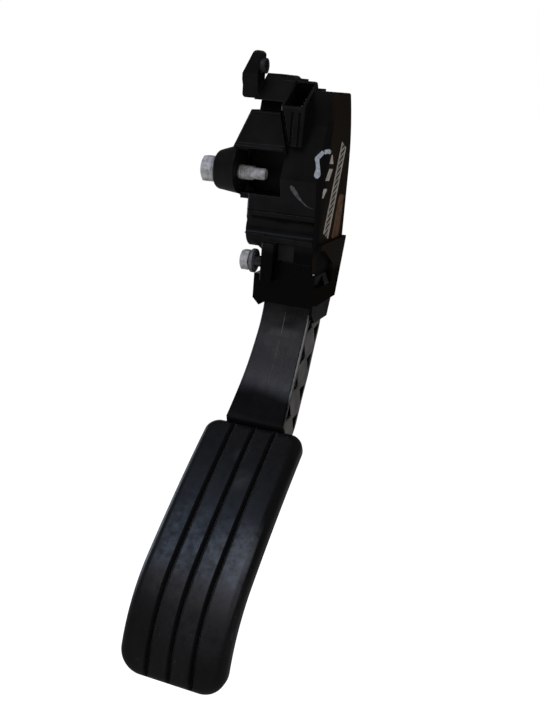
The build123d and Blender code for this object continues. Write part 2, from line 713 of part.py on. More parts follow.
def boss():
    """The tapered boss, which leans up to the shoulder, tied to the left wall by a level web."""
    root = Pos(-BOSS_RISE, 0, BOSS_LENGTH) * Circle(BOSS_R_INNER)
    cone = loft([Circle(BOSS_R_OUTER).face(), root.face()])
    cone = fillet(cone.edges().sort_by(Axis.Z)[0], BOSS_EDGE_R)
    web = polygon((BOSS_OUT + BOSS_WEB_SETBACK, BOSS_Y), (BOSS_IN, BOSS_Y), (BOSS_IN, SHOULDER_BACK),
                  (EAR_LEFT, SHOULDER_BACK))
    return (Pos(BOSS_OUT, BOSS_Y, BOSS_Z) * Rot(0, 90, 0) * cone
            + extrude(Pos(0, 0, BOSS_Z - BOSS_WEB / 2) * web, amount=BOSS_WEB))


def shoulder():
    """The block over the recess, narrower at its top, with a proud ledge along its foot."""
    foot_z = RECESS_HIGH - LAP
    face = polygon((SHOULDER_LEFT, foot_z), (RECESS_RIGHT + LAP, foot_z), (SOCKET_LEFT + LAP, SHOULDER_TOP),
                   (SHOULDER_LEFT + SHOULDER_SLOPE, SHOULDER_TOP))
    blank = extrude(Plane.XZ.offset(-SHOULDER_BACK) * face, amount=SHOULDER_BACK - FRONT_Y)
    front_edges = blank.edges().group_by(Axis.Y)[0]
    rounded = [e for e in front_edges if e.center().Z > foot_z + SAME and e.center().X < RECESS_RIGHT - LAP]
    blank = fillet(rounded, SHOULDER_EDGE_R)
    ledge_top = RECESS_HIGH + LEDGE_HEIGHT
    ledge = polygon((FRONT_Y, RECESS_HIGH), (FRONT_Y - LEDGE_PROUD, RECESS_HIGH),
                    (FRONT_Y - LEDGE_PROUD, ledge_top - LEDGE_PROUD), (FRONT_Y, ledge_top))
    return blank + slab(ledge, SHOULDER_LEFT + SHOULDER_EDGE_R, RECESS_RIGHT)


def ear():
    """A thumb-shaped tab that leans back over its lip and narrows to its top."""
    chin = EAR_FRONT_Y + EAR_LIP
    back = EAR_FRONT_Y + EAR_DEPTH
    side = polygon((chin, EAR_LOW_Z), (chin, EAR_LIP_Z), (EAR_FRONT_Y, EAR_LIP_Z + 2 * EAR_LIP),
                   (EAR_FRONT_Y, EAR_NOSE_Z), (EAR_FRONT_Y + EAR_LEAN, EAR_TOP_Z), (back, EAR_TOP_Z),
                   (back, EAR_LOW_Z))
    side = fillet([v for v in side.vertices() if v.Y > EAR_NOSE_Z - SAME], EAR_ROUND)
    front = polygon((EAR_LEFT, EAR_LOW_Z), (EAR_LEFT, EAR_NOSE_Z), (EAR_LEFT + EAR_TAPER, EAR_TOP_Z),
                    (EAR_RIGHT, EAR_TOP_Z), (EAR_RIGHT, EAR_LOW_Z))
    corner = (EAR_RIGHT, EAR_LOW_Z)
    front = fillet([v for v in front.vertices() if (v.X, v.Y) != corner], EAR_ROUND)
    return slab(side, EAR_LEFT, EAR_RIGHT) & extrude(Plane.XZ.offset(-FAR) * front, amount=2 * FAR)


def roof():
    """The sloping plate between the ear and the socket, with a step and a bead on its crest."""
    root_z = SHOULDER_TOP - ROOF_ROOT
    side = polygon((ROOF_FRONT_Y, ROOF_FRONT_Z), (ROOF_CREST_Y, ROOF_CREST_Z), (SHOULDER_BACK, ROOF_CREST_Z),
                   (SHOULDER_BACK, root_z), (ROOF_FOOT_Y, root_z), (ROOF_FOOT_Y, ROOF_FRONT_Z))
    plate = slab(side, EAR_RIGHT, SOCKET_LEFT + LAP)
    step_end = SOCKET_LEFT + LAP + PAST
    plate -= block(EAR_RIGHT + ROOF_STEP_X, step_end, -FAR, FAR, ROOF_CREST_Z - ROOF_STEP, FAR)
    bead = Rot(-90, 0, 0) * Cylinder(BEAD_R, BEAD_LENGTH, align=LOW)
    return plate + Pos(BEAD_X, BEAD_FRONT_Y, BEAD_Z) * bead


def left_wall():
    """The wall behind the boss, the one under the roof, and a shelf under the recess."""
    wall = block(EAR_LEFT, CORE_LEFT, LEFT_WALL_FRONT_Y, LEFT_WALL_BACK, LEFT_WALL_LOW, RECESS_HIGH)
    wall += block(EAR_RIGHT + UPPER_WALL_INSET, SOCKET_LEFT + LAP, UPPER_WALL_FRONT_Y, LEFT_WALL_BACK,
                  RECESS_HIGH, ROOF_CREST_Z - ROOF_STEP)
    return wall + block(BOSS_IN + SHELF_INSET, CORE_LEFT, SHELF_FRONT_Y, LEFT_WALL_FRONT_Y, LEFT_WALL_LOW,
                        RECESS_LOW)


def left_wall_cores():
    """Rectangular cores in the left wall, between its ribs."""
    rib_half = BOSS_WEB / 2 + LEFT_CORE_MARGIN
    rows = [(LEFT_WALL_LOW + WALL, BOSS_Z - rib_half), (BOSS_Z + rib_half, RECESS_HIGH),
            (RECESS_HIGH + WALL, SHOULDER_TOP - LEFT_CORE_MARGIN)]
    return [block(EAR_LEFT - PAST, CORE_LEFT - WALL, LEFT_CORE_FRONT_Y, LEFT_WALL_BACK - WALL, low, high)
            for low, high in rows]


def rear_slant(z):
    """How far back the cage's slanting rear edge lies at a height."""
    return REAR_Y - SKIRT_SETBACK * (CORE_BOTTOM_Z - z) / (CORE_BOTTOM_Z - SKIRT_BOTTOM)


def skirt(x_low, x_high, front, bottom, heel):
    """A cheek under the core, with its slanting rear edge."""
    side = polygon((front, CORE_BOTTOM_Z), (front, bottom + CHEEK_TOE), (front + CHEEK_TOE, bottom),
                   (heel, bottom), (rear_slant(SKIRT_BOTTOM), SKIRT_BOTTOM), (REAR_Y, CORE_BOTTOM_Z))
    return slab(side, x_low, x_high)


def right_cheek():
    """The cheek under the cover, cut clear of the core, with the nose that the cover snaps over."""
    cheek = skirt(CHEEK_IN, CHEEK_OUT, CHEEK_FRONT_Y, CHEEK_BOTTOM, CHEEK_HEEL_Y)
    cheek -= block(CHEEK_IN - PAST, CHEEK_OUT + PAST, -FAR, FAR, CORE_BOTTOM_Z - SIDE_GAP,
                   CORE_BOTTOM_Z + PAST)
    return cheek + latch_nose()


def latch_nose():
    """The wedge on the right cheek that the cover's flange snaps over."""
    foot_z = SKIRT_BOTTOM + LATCH_SILL + NOSE_GAP
    wedge = polygon((CHEEK_OUT - LAP, foot_z), (FLANGE_OUT, foot_z), (CHEEK_OUT, foot_z + NOSE_HEIGHT),
                    (CHEEK_OUT - LAP, foot_z + NOSE_HEIGHT))
    return extrude(Plane.XZ.offset(-NOSE_BACK) * wedge, amount=NOSE_BACK - NOSE_FRONT)


def underside():
    """The slope from the core's left end down to the lug, drawn as (X, Z)."""
    return polygon((CORE_LEFT, CORE_BOTTOM_Z + UNDERCUT_RISE), (CHAMBER_LEFT, CORE_BOTTOM_Z + UNDERCUT_RISE),
                   (CHAMBER_LEFT, CORE_BOTTOM_Z - UNDERCUT))


def core_block():
    """The main chamber's block, rounded at its left end, with the flute and the seam across its front."""
    blank = slab(core_outline(), CORE_LEFT, RIM_X)
    left_edges = [e for e in blank.edges().group_by(Axis.X)[0] if e.center().Y < BREAST_Y / 2
                  and CORE_BOTTOM_Z + SAME < e.center().Z < BREAST_Z]
    blank = fillet(left_edges, CORE_EDGE_R)
    blank -= rod(CORE_LEFT - PAST, RIM_X + PAST, FRONT_Y - FLUTE_R + FLUTE_DEPTH, FLUTE_Z, FLUTE_R)
    seam_z = FLUTE_Z + FLUTE_R + SEAM_GAP
    seam_y = FRONT_Y + SEAM_DEPTH
    blank -= block(CORE_LEFT - PAST, RIM_X + PAST, FRONT_Y - PAST, seam_y, seam_z, seam_z + SEAM_WIDTH)
    corner = polygon((CORE_LEFT, CORE_BOTTOM_Z + UNDERCUT_RISE), (CORE_LEFT, CORE_BOTTOM_Z - PAST),
                     (CHAMBER_LEFT, CORE_BOTTOM_Z - PAST), (CHAMBER_LEFT, CORE_BOTTOM_Z)) - underside()
    return blank - extrude(Plane.XZ.offset(HUB_ROOM_R) * corner, amount=-FRONT_Y - HUB_ROOM_R + PAST)


def lug():
    """The post that the lower bolt screws into."""
    post = block(LUG_LEFT, LUG_RIGHT, LUG_FRONT, APRON_INSIDE, LUG_BOTTOM, LUG_TOP)
    return fillet([e for e in post.edges().filter_by(Axis.Z) if e.center().Y < LUG_FRONT + SAME], LUG_EDGE_R)


def lower_cage():
    """Cheeks, apron, lug and rear wall, which the arm swings between."""
    left = -CHEEK_IN - LEFT_CHEEK_WALL
    cage = skirt(left, -CHEEK_IN, LEFT_CHEEK_FRONT_Y, LEFT_CHEEK_BOTTOM, LEFT_CHEEK_HEEL_Y)
    toe = LEFT_BLOCK_BOTTOM + LEFT_BLOCK_TOE
    left_block = polygon((left, LEFT_BLOCK_TOP), (left, toe), (left + LEFT_BLOCK_TOE, LEFT_BLOCK_BOTTOM),
                         (-CHEEK_IN, LEFT_BLOCK_BOTTOM), (-CHEEK_IN, LEFT_BLOCK_TOP))
    block_back = LEFT_CHEEK_FRONT_Y + LAP
    cage += extrude(Plane.XZ.offset(-block_back) * left_block, amount=block_back - CHEEK_FRONT_Y)
    cage += right_cheek()
    side = CHEEK_IN + LAP
    apron_front = APRON_INSIDE - APRON_WALL
    cage += block(-side, side, apron_front, APRON_INSIDE, APRON_BOTTOM, LEFT_BLOCK_TOP)
    cage += block(LUG_LEFT, side, apron_front, APRON_INSIDE, LEFT_BLOCK_TOP, APRON_TOP)
    cage += block(LUG_LEFT, PANEL_RIGHT, apron_front + PANEL_SETBACK, APRON_INSIDE, APRON_TOP - LAP,
                  CORE_BOTTOM_Z + LAP)
    cage += lug()
    foot_y = rear_slant(REAR_WALL_BOTTOM)
    rear = polygon((REAR_Y, CORE_BOTTOM_Z), (foot_y, REAR_WALL_BOTTOM), (foot_y - WALL, REAR_WALL_BOTTOM),
                   (REAR_Y - WALL, CORE_BOTTOM_Z))
    cage += slab(rear, -side, side)
    cage += extrude(Plane.XZ.offset(HUB_ROOM_R) * underside(), amount=-FRONT_Y - HUB_ROOM_R)
    return cage - slab(tub_outline(RIM_WALL + SIDE_GAP), RIM_X, CHEEK_OUT)


def mechanism_room():
    """Clearance for the hub, the neck, the lever and the springs."""
    back = REAR_Y - WALL
    room = rod(CHAMBER_LEFT, DIVIDER_X, 0, 0, HUB_ROOM_R)
    room += block(CHAMBER_LEFT, DIVIDER_X, -HUB_ROOM_R, HUB_ROOM_R, REAR_WALL_BOTTOM, 0)
    room += block(CHAMBER_LEFT, DIVIDER_X, 0, back, CORE_BOTTOM_Z, HUB_ROOM_R)
    return room + block(CHAMBER_LEFT, DIVIDER_X, SPRING_Y - SEAT_R - SPRING_ROOM, back, 0,
                        SPRING_TOP_Z + SEAT_THICKNESS)


def make_housing():
    housing = core_block() + slab(tub_outline(RIM_WALL), DIVIDER_X, RIM_X)
    housing += left_wall() + shoulder() + ear() + roof() + connector_body()
    housing += block(TAB_LEFT, TAB_RIGHT, TAB_FRONT, TAB_BACK, TOP_Z - LAP, TOP_Z + TAB_RISE)
    housing -= socket_valley()
    for core in left_wall_cores():
        housing -= core
    housing -= fixing_recess()
    housing += boss() + lower_cage()
    housing += rod(CORE_LEFT - PIN_BOSS, CHAMBER_LEFT, 0, 0, PIN_BOSS_R)
    housing -= mechanism_room()
    housing -= slab(chamber_outline(), CHAMBER_X, RIM_X + PAST)
    housing -= seal_ring()
    housing -= connector_hole()
    for blade in make_terminals():
        housing -= blade
    for post in board_posts():
        housing += post
    housing -= rod(CORE_LEFT - PIN_BOSS - PAST, PIN_END, 0, 0, PIN_R)
    housing -= rod(BOSS_OUT - PAST, BOSS_IN + PAST, BOSS_Y, BOSS_Z, SLEEVE_R + SLEEVE_WALL)
    housing -= small_bolt_rod(LUG_LEFT - PAST, LUG_RIGHT - LUG_END_WALL, INSERT_R + INSERT_WALL)
    return housing - rod(EAR_LEFT - PAST, EAR_BUSH_RIGHT + PAST, EAR_HOLE_Y, EAR_HOLE_Z, EAR_BUSH_R)


# Sensor side
def seal_ring():
    inner = offset(chamber_outline(), SEAL_INSET)
    outer = offset(chamber_outline(), SEAL_INSET + SEAL_WIDTH)
    return slab(outer - inner, RIM_X - SEAL_DEPTH, RIM_X)


def board_posts():
    """Posts under the board, two in the tub and two higher up."""
    low_z = TUB_BOTTOM + POST_RISE
    places = [(TUB_FRONT + POST_INSET, low_z), (TUB_BACK - POST_INSET, low_z), (FRONT_POST_Y, FRONT_POST_Z),
              (REAR_POST_Y, REAR_POST_Z)]
    return [rod(CHAMBER_X - LAP / 2, BOARD_X, y, z, POST_R) for y, z in places]


def make_board():
    board = slab(offset(chamber_outline(), -BOARD_MARGIN), BOARD_X, BOARD_X + BOARD_THICKNESS)
    for blade in make_terminals():
        board -= blade
    return board


def make_chips():
    """The two field sensors, on the board's face towards the rotor."""
    half = CHIP_LENGTH / 2
    return [block(BOARD_X - CHIP_HEIGHT, BOARD_X, y - CHIP_WIDTH / 2, y + CHIP_WIDTH / 2, -half, half)
            for y in (-CHIP_PITCH / 2, CHIP_PITCH / 2)]


def make_cover():
    """The flat cover, rounded along its edge, with a flange over the cheek that snaps over the nose."""
    plate = slab(core_outline(), RIM_X, COVER_X)
    outer_edges = plate.edges().group_by(Axis.X)[-1]
    cover = fillet([e for e in outer_edges if e.center().Z > CORE_BOTTOM_Z + SAME], COVER_EDGE_R)
    cover += slab(tub_outline(RIM_WALL), RIM_X, COVER_X)
    cover += slab(tub_outline(RIM_WALL, CORE_BOTTOM_Z), RIM_X, FLANGE_OUT)
    flange_top = CORE_BOTTOM_Z + FLANGE_LAP
    flange = polygon((CHEEK_FRONT_Y, flange_top), (CHEEK_FRONT_Y, SKIRT_BOTTOM),
                     (rear_slant(SKIRT_BOTTOM), SKIRT_BOTTOM), (REAR_Y, CORE_BOTTOM_Z), (REAR_Y, flange_top))
    cover += slab(flange, CHEEK_OUT, FLANGE_OUT)
    high = CORE_BOTTOM_Z - LATCH_HEAD
    low = SKIRT_BOTTOM + LATCH_SILL
    window = polygon((CHEEK_FRONT_Y - PAST, low), (LATCH_BACK, low), (LATCH_BACK, high - LATCH_SLANT),
                     (LATCH_FRONT, high), (CHEEK_FRONT_Y - PAST, high))
    return cover - slab(window, CHEEK_OUT, FLANGE_OUT + PAST)


# Springs and their seats
def make_spring(radius, wire):
    height = SPRING_TOP_Z - SPRING_LOW_Z - 2 * wire
    path = Helix(height / SPRING_TURNS, height, radius)
    wire_section = Plane(origin=path @ 0, z_dir=path % 0) * RegularPolygon(wire, WIRE_SIDES)
    return Pos(SPRING_X, SPRING_Y, SPRING_LOW_Z + wire) * sweep(wire_section, path=path, is_frenet=True)


def make_seat(disc_z, pilot_z):
    disc = Pos(SPRING_X, SPRING_Y, disc_z) * Cylinder(SEAT_R, SEAT_THICKNESS, align=LOW)
    return disc + Pos(SPRING_X, SPRING_Y, pilot_z) * Cylinder(SEAT_PILOT_R, SEAT_PILOT, align=LOW)


def make_friction_shoe():
    """A saddle over the front top of the hub, set into the housing."""
    ring = tube(-HUB_LEFT + SHOE_INSET, HUB_RIGHT - SHOE_INSET, 0, 0, HUB_ROOM_R, HUB_R + SHOE_GAP)
    wedge_r = 2 * HUB_ROOM_R
    edges = [radians(SHOE_START_ANGLE + share * SHOE_ANGLE) for share in (0, 0.5, 1)]
    wedge = polygon((0, 0), *[(wedge_r * cos(angle), wedge_r * sin(angle)) for angle in edges])
    return ring & slab(wedge, -HUB_LEFT, HUB_RIGHT)


# Stops
def make_idle_stop():
    half = STOP_WIDTH / 2
    return block(SPRING_X - half, SPRING_X + half, APRON_INSIDE, APRON_INSIDE + STOP_THICKNESS,
                 IDLE_STOP_Z - STOP_HEIGHT / 2, IDLE_STOP_Z + STOP_HEIGHT / 2)


def make_kickdown_stop():
    """Its face stands where the arm's rear arrives at full travel."""
    swing = radians(TRAVEL_ANGLE)
    face = ARM_REAR_Y * cos(swing) - ARM_TOP * sin(swing) + STOP_GAP
    side = polygon((face, KICKDOWN_LOW), (rear_slant(KICKDOWN_LOW) - WALL, KICKDOWN_LOW),
                   (rear_slant(KICKDOWN_HIGH) - WALL, KICKDOWN_HIGH), (face, KICKDOWN_HIGH))
    return slab(side, SPRING_X - STOP_WIDTH / 2, SPRING_X + STOP_WIDTH / 2)


# Fasteners
def bolt_head(x_seat, y, z, across, height, flange_r, flange):
    """A flanged hex head whose flange seats at x_seat, with the hexagon's corners turned down."""
    turn = Rot(0, 90, 0)
    x_top = x_seat - flange - height
    hexagon = extrude(RegularPolygon(across / 2, 6, major_radius=False), amount=height)
    crown = Cone(across / 2, across / 2 + height, height, align=LOW)
    head = Pos(x_top, y, z) * turn * (hexagon & crown)
    skirt_cone = Cone(across / 2, flange_r, flange / 2, align=LOW)
    head += Pos(x_seat - flange, y, z) * turn * skirt_cone
    return head + rod(x_seat - flange / 2, x_seat, y, z, flange_r)


def make_upper_bolt():
    """Plain shank in the sleeve, then the free thread and its dog point."""
    bolt = bolt_head(BOSS_OUT, BOSS_Y, BOSS_Z, BOLT_HEX, BOLT_HEAD, BOLT_FLANGE_R, BOLT_FLANGE)
    thread_end = BOSS_IN + BOLT_FREE - BOLT_POINT
    bolt += rod(BOSS_OUT, BOSS_IN, BOSS_Y, BOSS_Z, BOLT_R - SHANK_RELIEF)
    bolt += rod(BOSS_IN, thread_end, BOSS_Y, BOSS_Z, BOLT_R)
    return bolt + rod(thread_end, BOSS_IN + BOLT_FREE, BOSS_Y, BOSS_Z, BOLT_POINT_R)


def make_lower_bolt():
    """Screwed part of the way in, so that its washer stands off the lug."""
    bolt = bolt_head(WASHER_OUT, SMALL_BOLT_Y, SMALL_BOLT_Z, SMALL_BOLT_HEX, SMALL_BOLT_HEAD,
                     SMALL_BOLT_FLANGE_R, SMALL_BOLT_FLANGE)
    return bolt + small_bolt_rod(WASHER_OUT, LUG_LEFT + SMALL_BOLT_GRIP, SMALL_BOLT_R)


def small_bolt_rod(x_low, x_high, radius):
    return rod(x_low, x_high, SMALL_BOLT_Y, SMALL_BOLT_Z, radius)


def small_bolt_tube(x_low, x_high, outer, inner):
    return tube(x_low, x_high, SMALL_BOLT_Y, SMALL_BOLT_Z, outer, inner)


def make_parts():
    return {
        "housing": make_housing(),
        "sensor_cover": make_cover(),
        "cover_seal": seal_ring(),
        "sensor_board": make_board(),
        "hall_sensors": make_chips(),
        "sensor_rotor": tube(HUB_RIGHT, ROTOR_X, 0, 0, ROTOR_R, PIN_R + ROTOR_BORE_GAP),
        "connector_terminals": make_terminals(),
        "pivot_pin": rod(CORE_LEFT - PIN_BOSS, PIN_END, 0, 0, PIN_R),
        "left_bush": make_bush(-HUB_LEFT),
        "right_bush": make_bush(HUB_RIGHT - BUSH_LENGTH),
        "pedal_arm": make_arm(),
        "pedal_pad": make_pad(),
        "outer_spring": make_spring(OUTER_SPRING_R, OUTER_WIRE_R),
        "inner_spring": make_spring(INNER_SPRING_R, INNER_WIRE_R),
        "upper_spring_seat": make_seat(SPRING_TOP_Z, SPRING_TOP_Z - SEAT_PILOT),
        "lower_spring_seat": make_seat(LEVER_HALF_HEIGHT, SPRING_LOW_Z),
        "friction_shoe": make_friction_shoe(),
        "idle_stop": make_idle_stop(),
        "kickdown_stop": make_kickdown_stop(),
        "upper_bolt": make_upper_bolt(),
        "boss_sleeve": tube(BOSS_OUT, BOSS_IN, BOSS_Y, BOSS_Z, SLEEVE_R + SLEEVE_WALL, SLEEVE_R),
        "lower_bolt": make_lower_bolt(),
        "lower_washer": small_bolt_tube(WASHER_OUT, WASHER_IN, WASHER_R, SMALL_BOLT_R + WASHER_GAP),
        "lower_insert": small_bolt_tube(LUG_LEFT, LUG_RIGHT - LUG_END_WALL, INSERT_R + INSERT_WALL, INSERT_R),
        "ear_bush": tube(EAR_BUSH_LEFT, EAR_BUSH_RIGHT, EAR_HOLE_Y, EAR_HOLE_Z, EAR_BUSH_R, EAR_HOLE_R),
    }


os.makedirs("parts", exist_ok=True)
for name, part in make_parts().items():
    solids = part if isinstance(part, list) else [part]
    solids = [HOME * solid for solid in solids]
    export_step(solids[0] if len(solids) == 1 else Compound(children=solids), f"parts/{name}.step")
    print(name, round(sum(solid.volume for solid in solids)), "mm3")
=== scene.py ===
import math

import bpy
from mathutils import Matrix, Vector


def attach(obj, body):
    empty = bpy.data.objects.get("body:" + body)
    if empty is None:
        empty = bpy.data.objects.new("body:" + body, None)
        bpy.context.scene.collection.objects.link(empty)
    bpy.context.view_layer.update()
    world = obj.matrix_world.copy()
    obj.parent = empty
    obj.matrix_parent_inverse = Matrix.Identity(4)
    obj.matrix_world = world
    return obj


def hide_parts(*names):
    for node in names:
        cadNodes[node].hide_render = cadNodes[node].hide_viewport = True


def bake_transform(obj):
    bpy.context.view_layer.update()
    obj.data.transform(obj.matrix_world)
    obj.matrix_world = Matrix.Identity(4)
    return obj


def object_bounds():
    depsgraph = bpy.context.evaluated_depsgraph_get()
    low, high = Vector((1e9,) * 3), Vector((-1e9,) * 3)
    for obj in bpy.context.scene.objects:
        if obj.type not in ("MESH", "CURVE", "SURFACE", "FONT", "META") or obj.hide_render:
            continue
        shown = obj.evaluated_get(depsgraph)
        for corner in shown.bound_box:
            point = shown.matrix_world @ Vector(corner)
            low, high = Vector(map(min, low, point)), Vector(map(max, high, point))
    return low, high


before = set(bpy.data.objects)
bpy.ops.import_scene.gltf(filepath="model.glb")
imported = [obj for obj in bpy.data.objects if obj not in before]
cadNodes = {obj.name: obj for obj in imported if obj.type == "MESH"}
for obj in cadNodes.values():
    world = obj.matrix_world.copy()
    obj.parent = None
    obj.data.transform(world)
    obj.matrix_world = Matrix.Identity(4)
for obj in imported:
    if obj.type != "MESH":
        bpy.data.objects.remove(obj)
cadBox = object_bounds()
mm = 0.001
bpy.ops.object.select_all(action="DESELECT")
print("frame loaded,", len(cadNodes), "nodes")


# node helpers for the finishes
def addNode(tree, kind, inputs=None, **settings):
    node = tree.nodes.new(kind)
    for key, value in settings.items():
        setattr(node, key, value)
    for key, value in (inputs or {}).items():
        if isinstance(value, bpy.types.NodeSocket):
            tree.links.new(value, node.inputs[key])
        else:
            node.inputs[key].default_value = value
    return node


def newFinish(name):
    material = bpy.data.materials.new(name)
    material.use_nodes = True
    tree = material.node_tree
    place = addNode(tree, "ShaderNodeTexCoord").outputs["Object"]
    return material, tree, tree.nodes["Principled BSDF"], place


def noise(tree, place, scale, detail=3.0, rough=0.5):
    inputs = {"Vector": place, "Scale": scale, "Detail": detail, "Roughness": rough}
    return addNode(tree, "ShaderNodeTexNoise", inputs).outputs["Fac"]


def stretched(tree, place, scale, turn=(0.0, 0.0, 0.0)):
    turned = {"Vector": place, "Scale": scale, "Rotation": [math.radians(a) for a in turn]}
    return addNode(tree, "ShaderNodeMapping", turned).outputs["Vector"]


def spread(tree, source, low, high, toLow=0.0, toHigh=1.0):
    inputs = {"Value": source, "From Min": low, "From Max": high, "To Min": toLow, "To Max": toHigh}
    return addNode(tree, "ShaderNodeMapRange", inputs, interpolation_type="SMOOTHSTEP").outputs["Result"]


def combine(tree, operation, first, second):
    node = addNode(tree, "ShaderNodeMath", {0: first, 1: second}, operation=operation)
    return node.outputs["Value"]


def blendColour(tree, share, first, second):
    node = addNode(tree, "ShaderNodeMix", {0: share, 6: first, 7: second}, data_type="RGBA")
    return node.outputs[2]


def blendValue(tree, share, first, second):
    return addNode(tree, "ShaderNodeMix", {0: share, 2: first, 3: second}, data_type="FLOAT").outputs[0]


def feed(tree, socket, value):
    # links a node's output, or sets a plain value
    if isinstance(value, bpy.types.NodeSocket):
        tree.links.new(value, socket)
    else:
        socket.default_value = value


def alongLine(tree, place, direction):
    # how far a point lies along a direction, in metres
    node = addNode(tree, "ShaderNodeVectorMath", {0: place, 1: direction}, operation="DOT_PRODUCT")
    return node.outputs["Value"]


def edgeMask(tree, radius, low, high):
    # bright where two faces meet, from the turn of a bevelled normal; also gives that normal
    rounded = addNode(tree, "ShaderNodeBevel", {"Radius": radius}, samples=6).outputs["Normal"]
    flat = addNode(tree, "ShaderNodeNewGeometry").outputs["Normal"]
    turn = addNode(tree, "ShaderNodeVectorMath", {0: rounded, 1: flat}, operation="DOT_PRODUCT")
    return spread(tree, combine(tree, "SUBTRACT", 1.0, turn.outputs["Value"]), low, high), rounded


def bumpFrom(tree, height, strength, distance, normal=None):
    inputs = {"Height": height, "Strength": strength, "Distance": distance}
    if normal is not None:
        inputs["Normal"] = normal
    return addNode(tree, "ShaderNodeBump", inputs).outputs["Normal"]


# black moulded plastic: housing, cover, arm
housingLook = {
    "dark": (0.0026, 0.0025, 0.0024, 1), "light": (0.0058, 0.0056, 0.0053, 1),
    "wearAndEdgeHighlight": (0.026, 0.025, 0.024, 1),
    "roughLow": 0.26, "roughHigh": 0.40, "specular": 0.27, "cloudScale": 55.0, "grainScale": 2600.0,
    "grainDepth": 0.00002, "edgeRadius": 0.0006, "wearAndHighlightShare": 0.6,
    "rubScale": (900.0, 120.0, 60.0), "rubDepth": 0.00004,
    # painted shade, with dimmer reflections, on the housing below z = -36.5 mm
    "tonesWithPaintedShadeAndLight": [{"line": (0, 0, 1), "at": -0.0365, "over": 0.003, "tone": (0.0012, 0.0012, 0.0012, 1),
                "specular": 0.13}],
    "dullFaces": [(0.0, -0.9226, 0.3858), (1.0, 0.0, 0.0)], "dullSpecular": 0.03,
}
coverLook = {
    "dark": (0.0064, 0.0038, 0.0018, 1), "light": (0.0120, 0.0072, 0.0036, 1),
    "wearAndEdgeHighlight": (0.020, 0.016, 0.012, 1),
    "roughLow": 0.50, "roughHigh": 0.66, "specular": 0.03, "cloudScale": 40.0, "grainScale": 1900.0,
    "grainDepth": 0.00003, "edgeRadius": 0.0006, "wearAndHighlightShare": 0.45,
    "rubScale": (120.0, 700.0, 60.0), "rubDepth": 0.00004,
    # the cover's front strip in a neutral darker tone, like the housing beside it
    "tonesWithPaintedShadeAndLight": [{"line": (0, 0.9937, -0.1119), "at": 0.0014, "over": 0.0018,
                "tone": (0.0036, 0.0032, 0.0033, 1)},
               # painted shade, with no reflections, on the cover below z = -48 mm
               {"line": (0, 0, 1), "at": -0.0480, "over": 0.003, "tone": (0.0034, 0.0028, 0.0021, 1),
                "specular": 0.0},
               # painted shade in the pocket below the stickers; steep in x, so that the raised flange stays
               # out of it
               {"line": (20, 0, 1), "at": 0.9055, "over": 0.0012, "tone": (0.0033, 0.0026, 0.0031, 1),
                "facing": (1, 0, 0)}],
}
armLook = {
    "dark": (0.0040, 0.0039, 0.0042, 1), "light": (0.0105, 0.0102, 0.0112, 1),
    # pale edge tone: a painted highlight on the arm's edges, with some wear
    "wearAndEdgeHighlight": (0.150, 0.147, 0.152, 1),
    "roughLow": 0.19, "roughHigh": 0.42, "specular": 0.48, "cloudScale": 75.0, "grainScale": 2200.0,
    "grainDepth": 0.000015, "edgeRadius": 0.0009, "wearAndHighlightShare": 0.9,
    "rubScale": (420.0, 70.0, 50.0), "rubDepth": 0.00004,
    # painted shade, with dimmer reflections, on the front of the arm's foot
    "tonesWithPaintedShadeAndLight": [{"line": (0.10, 0.0, 0.995), "at": -0.1064, "over": 0.0044,
                "tone": (0.0030, 0.0027, 0.0030, 1), "facing": (0, -1, 0), "specular": 0.03},
               # painted light on the down-turned lip at the foot of the arm
               {"line": (0, 0, 1), "at": -0.1236, "over": 0.0010, "tone": (0.0072, 0.0066, 0.0072, 1),
                "facing": (0, -0.84, -0.54)}],
    # the arm's front-right edges that get the painted highlight
    "edgeHighlightFacing": (0.707, -0.62, 0.33),
}


def facingMask(tree, direction, low, high):
    # bright on faces that look along a direction
    flat = addNode(tree, "ShaderNodeNewGeometry").outputs["True Normal"]
    return spread(tree, alongLine(tree, flat, direction), low, high)


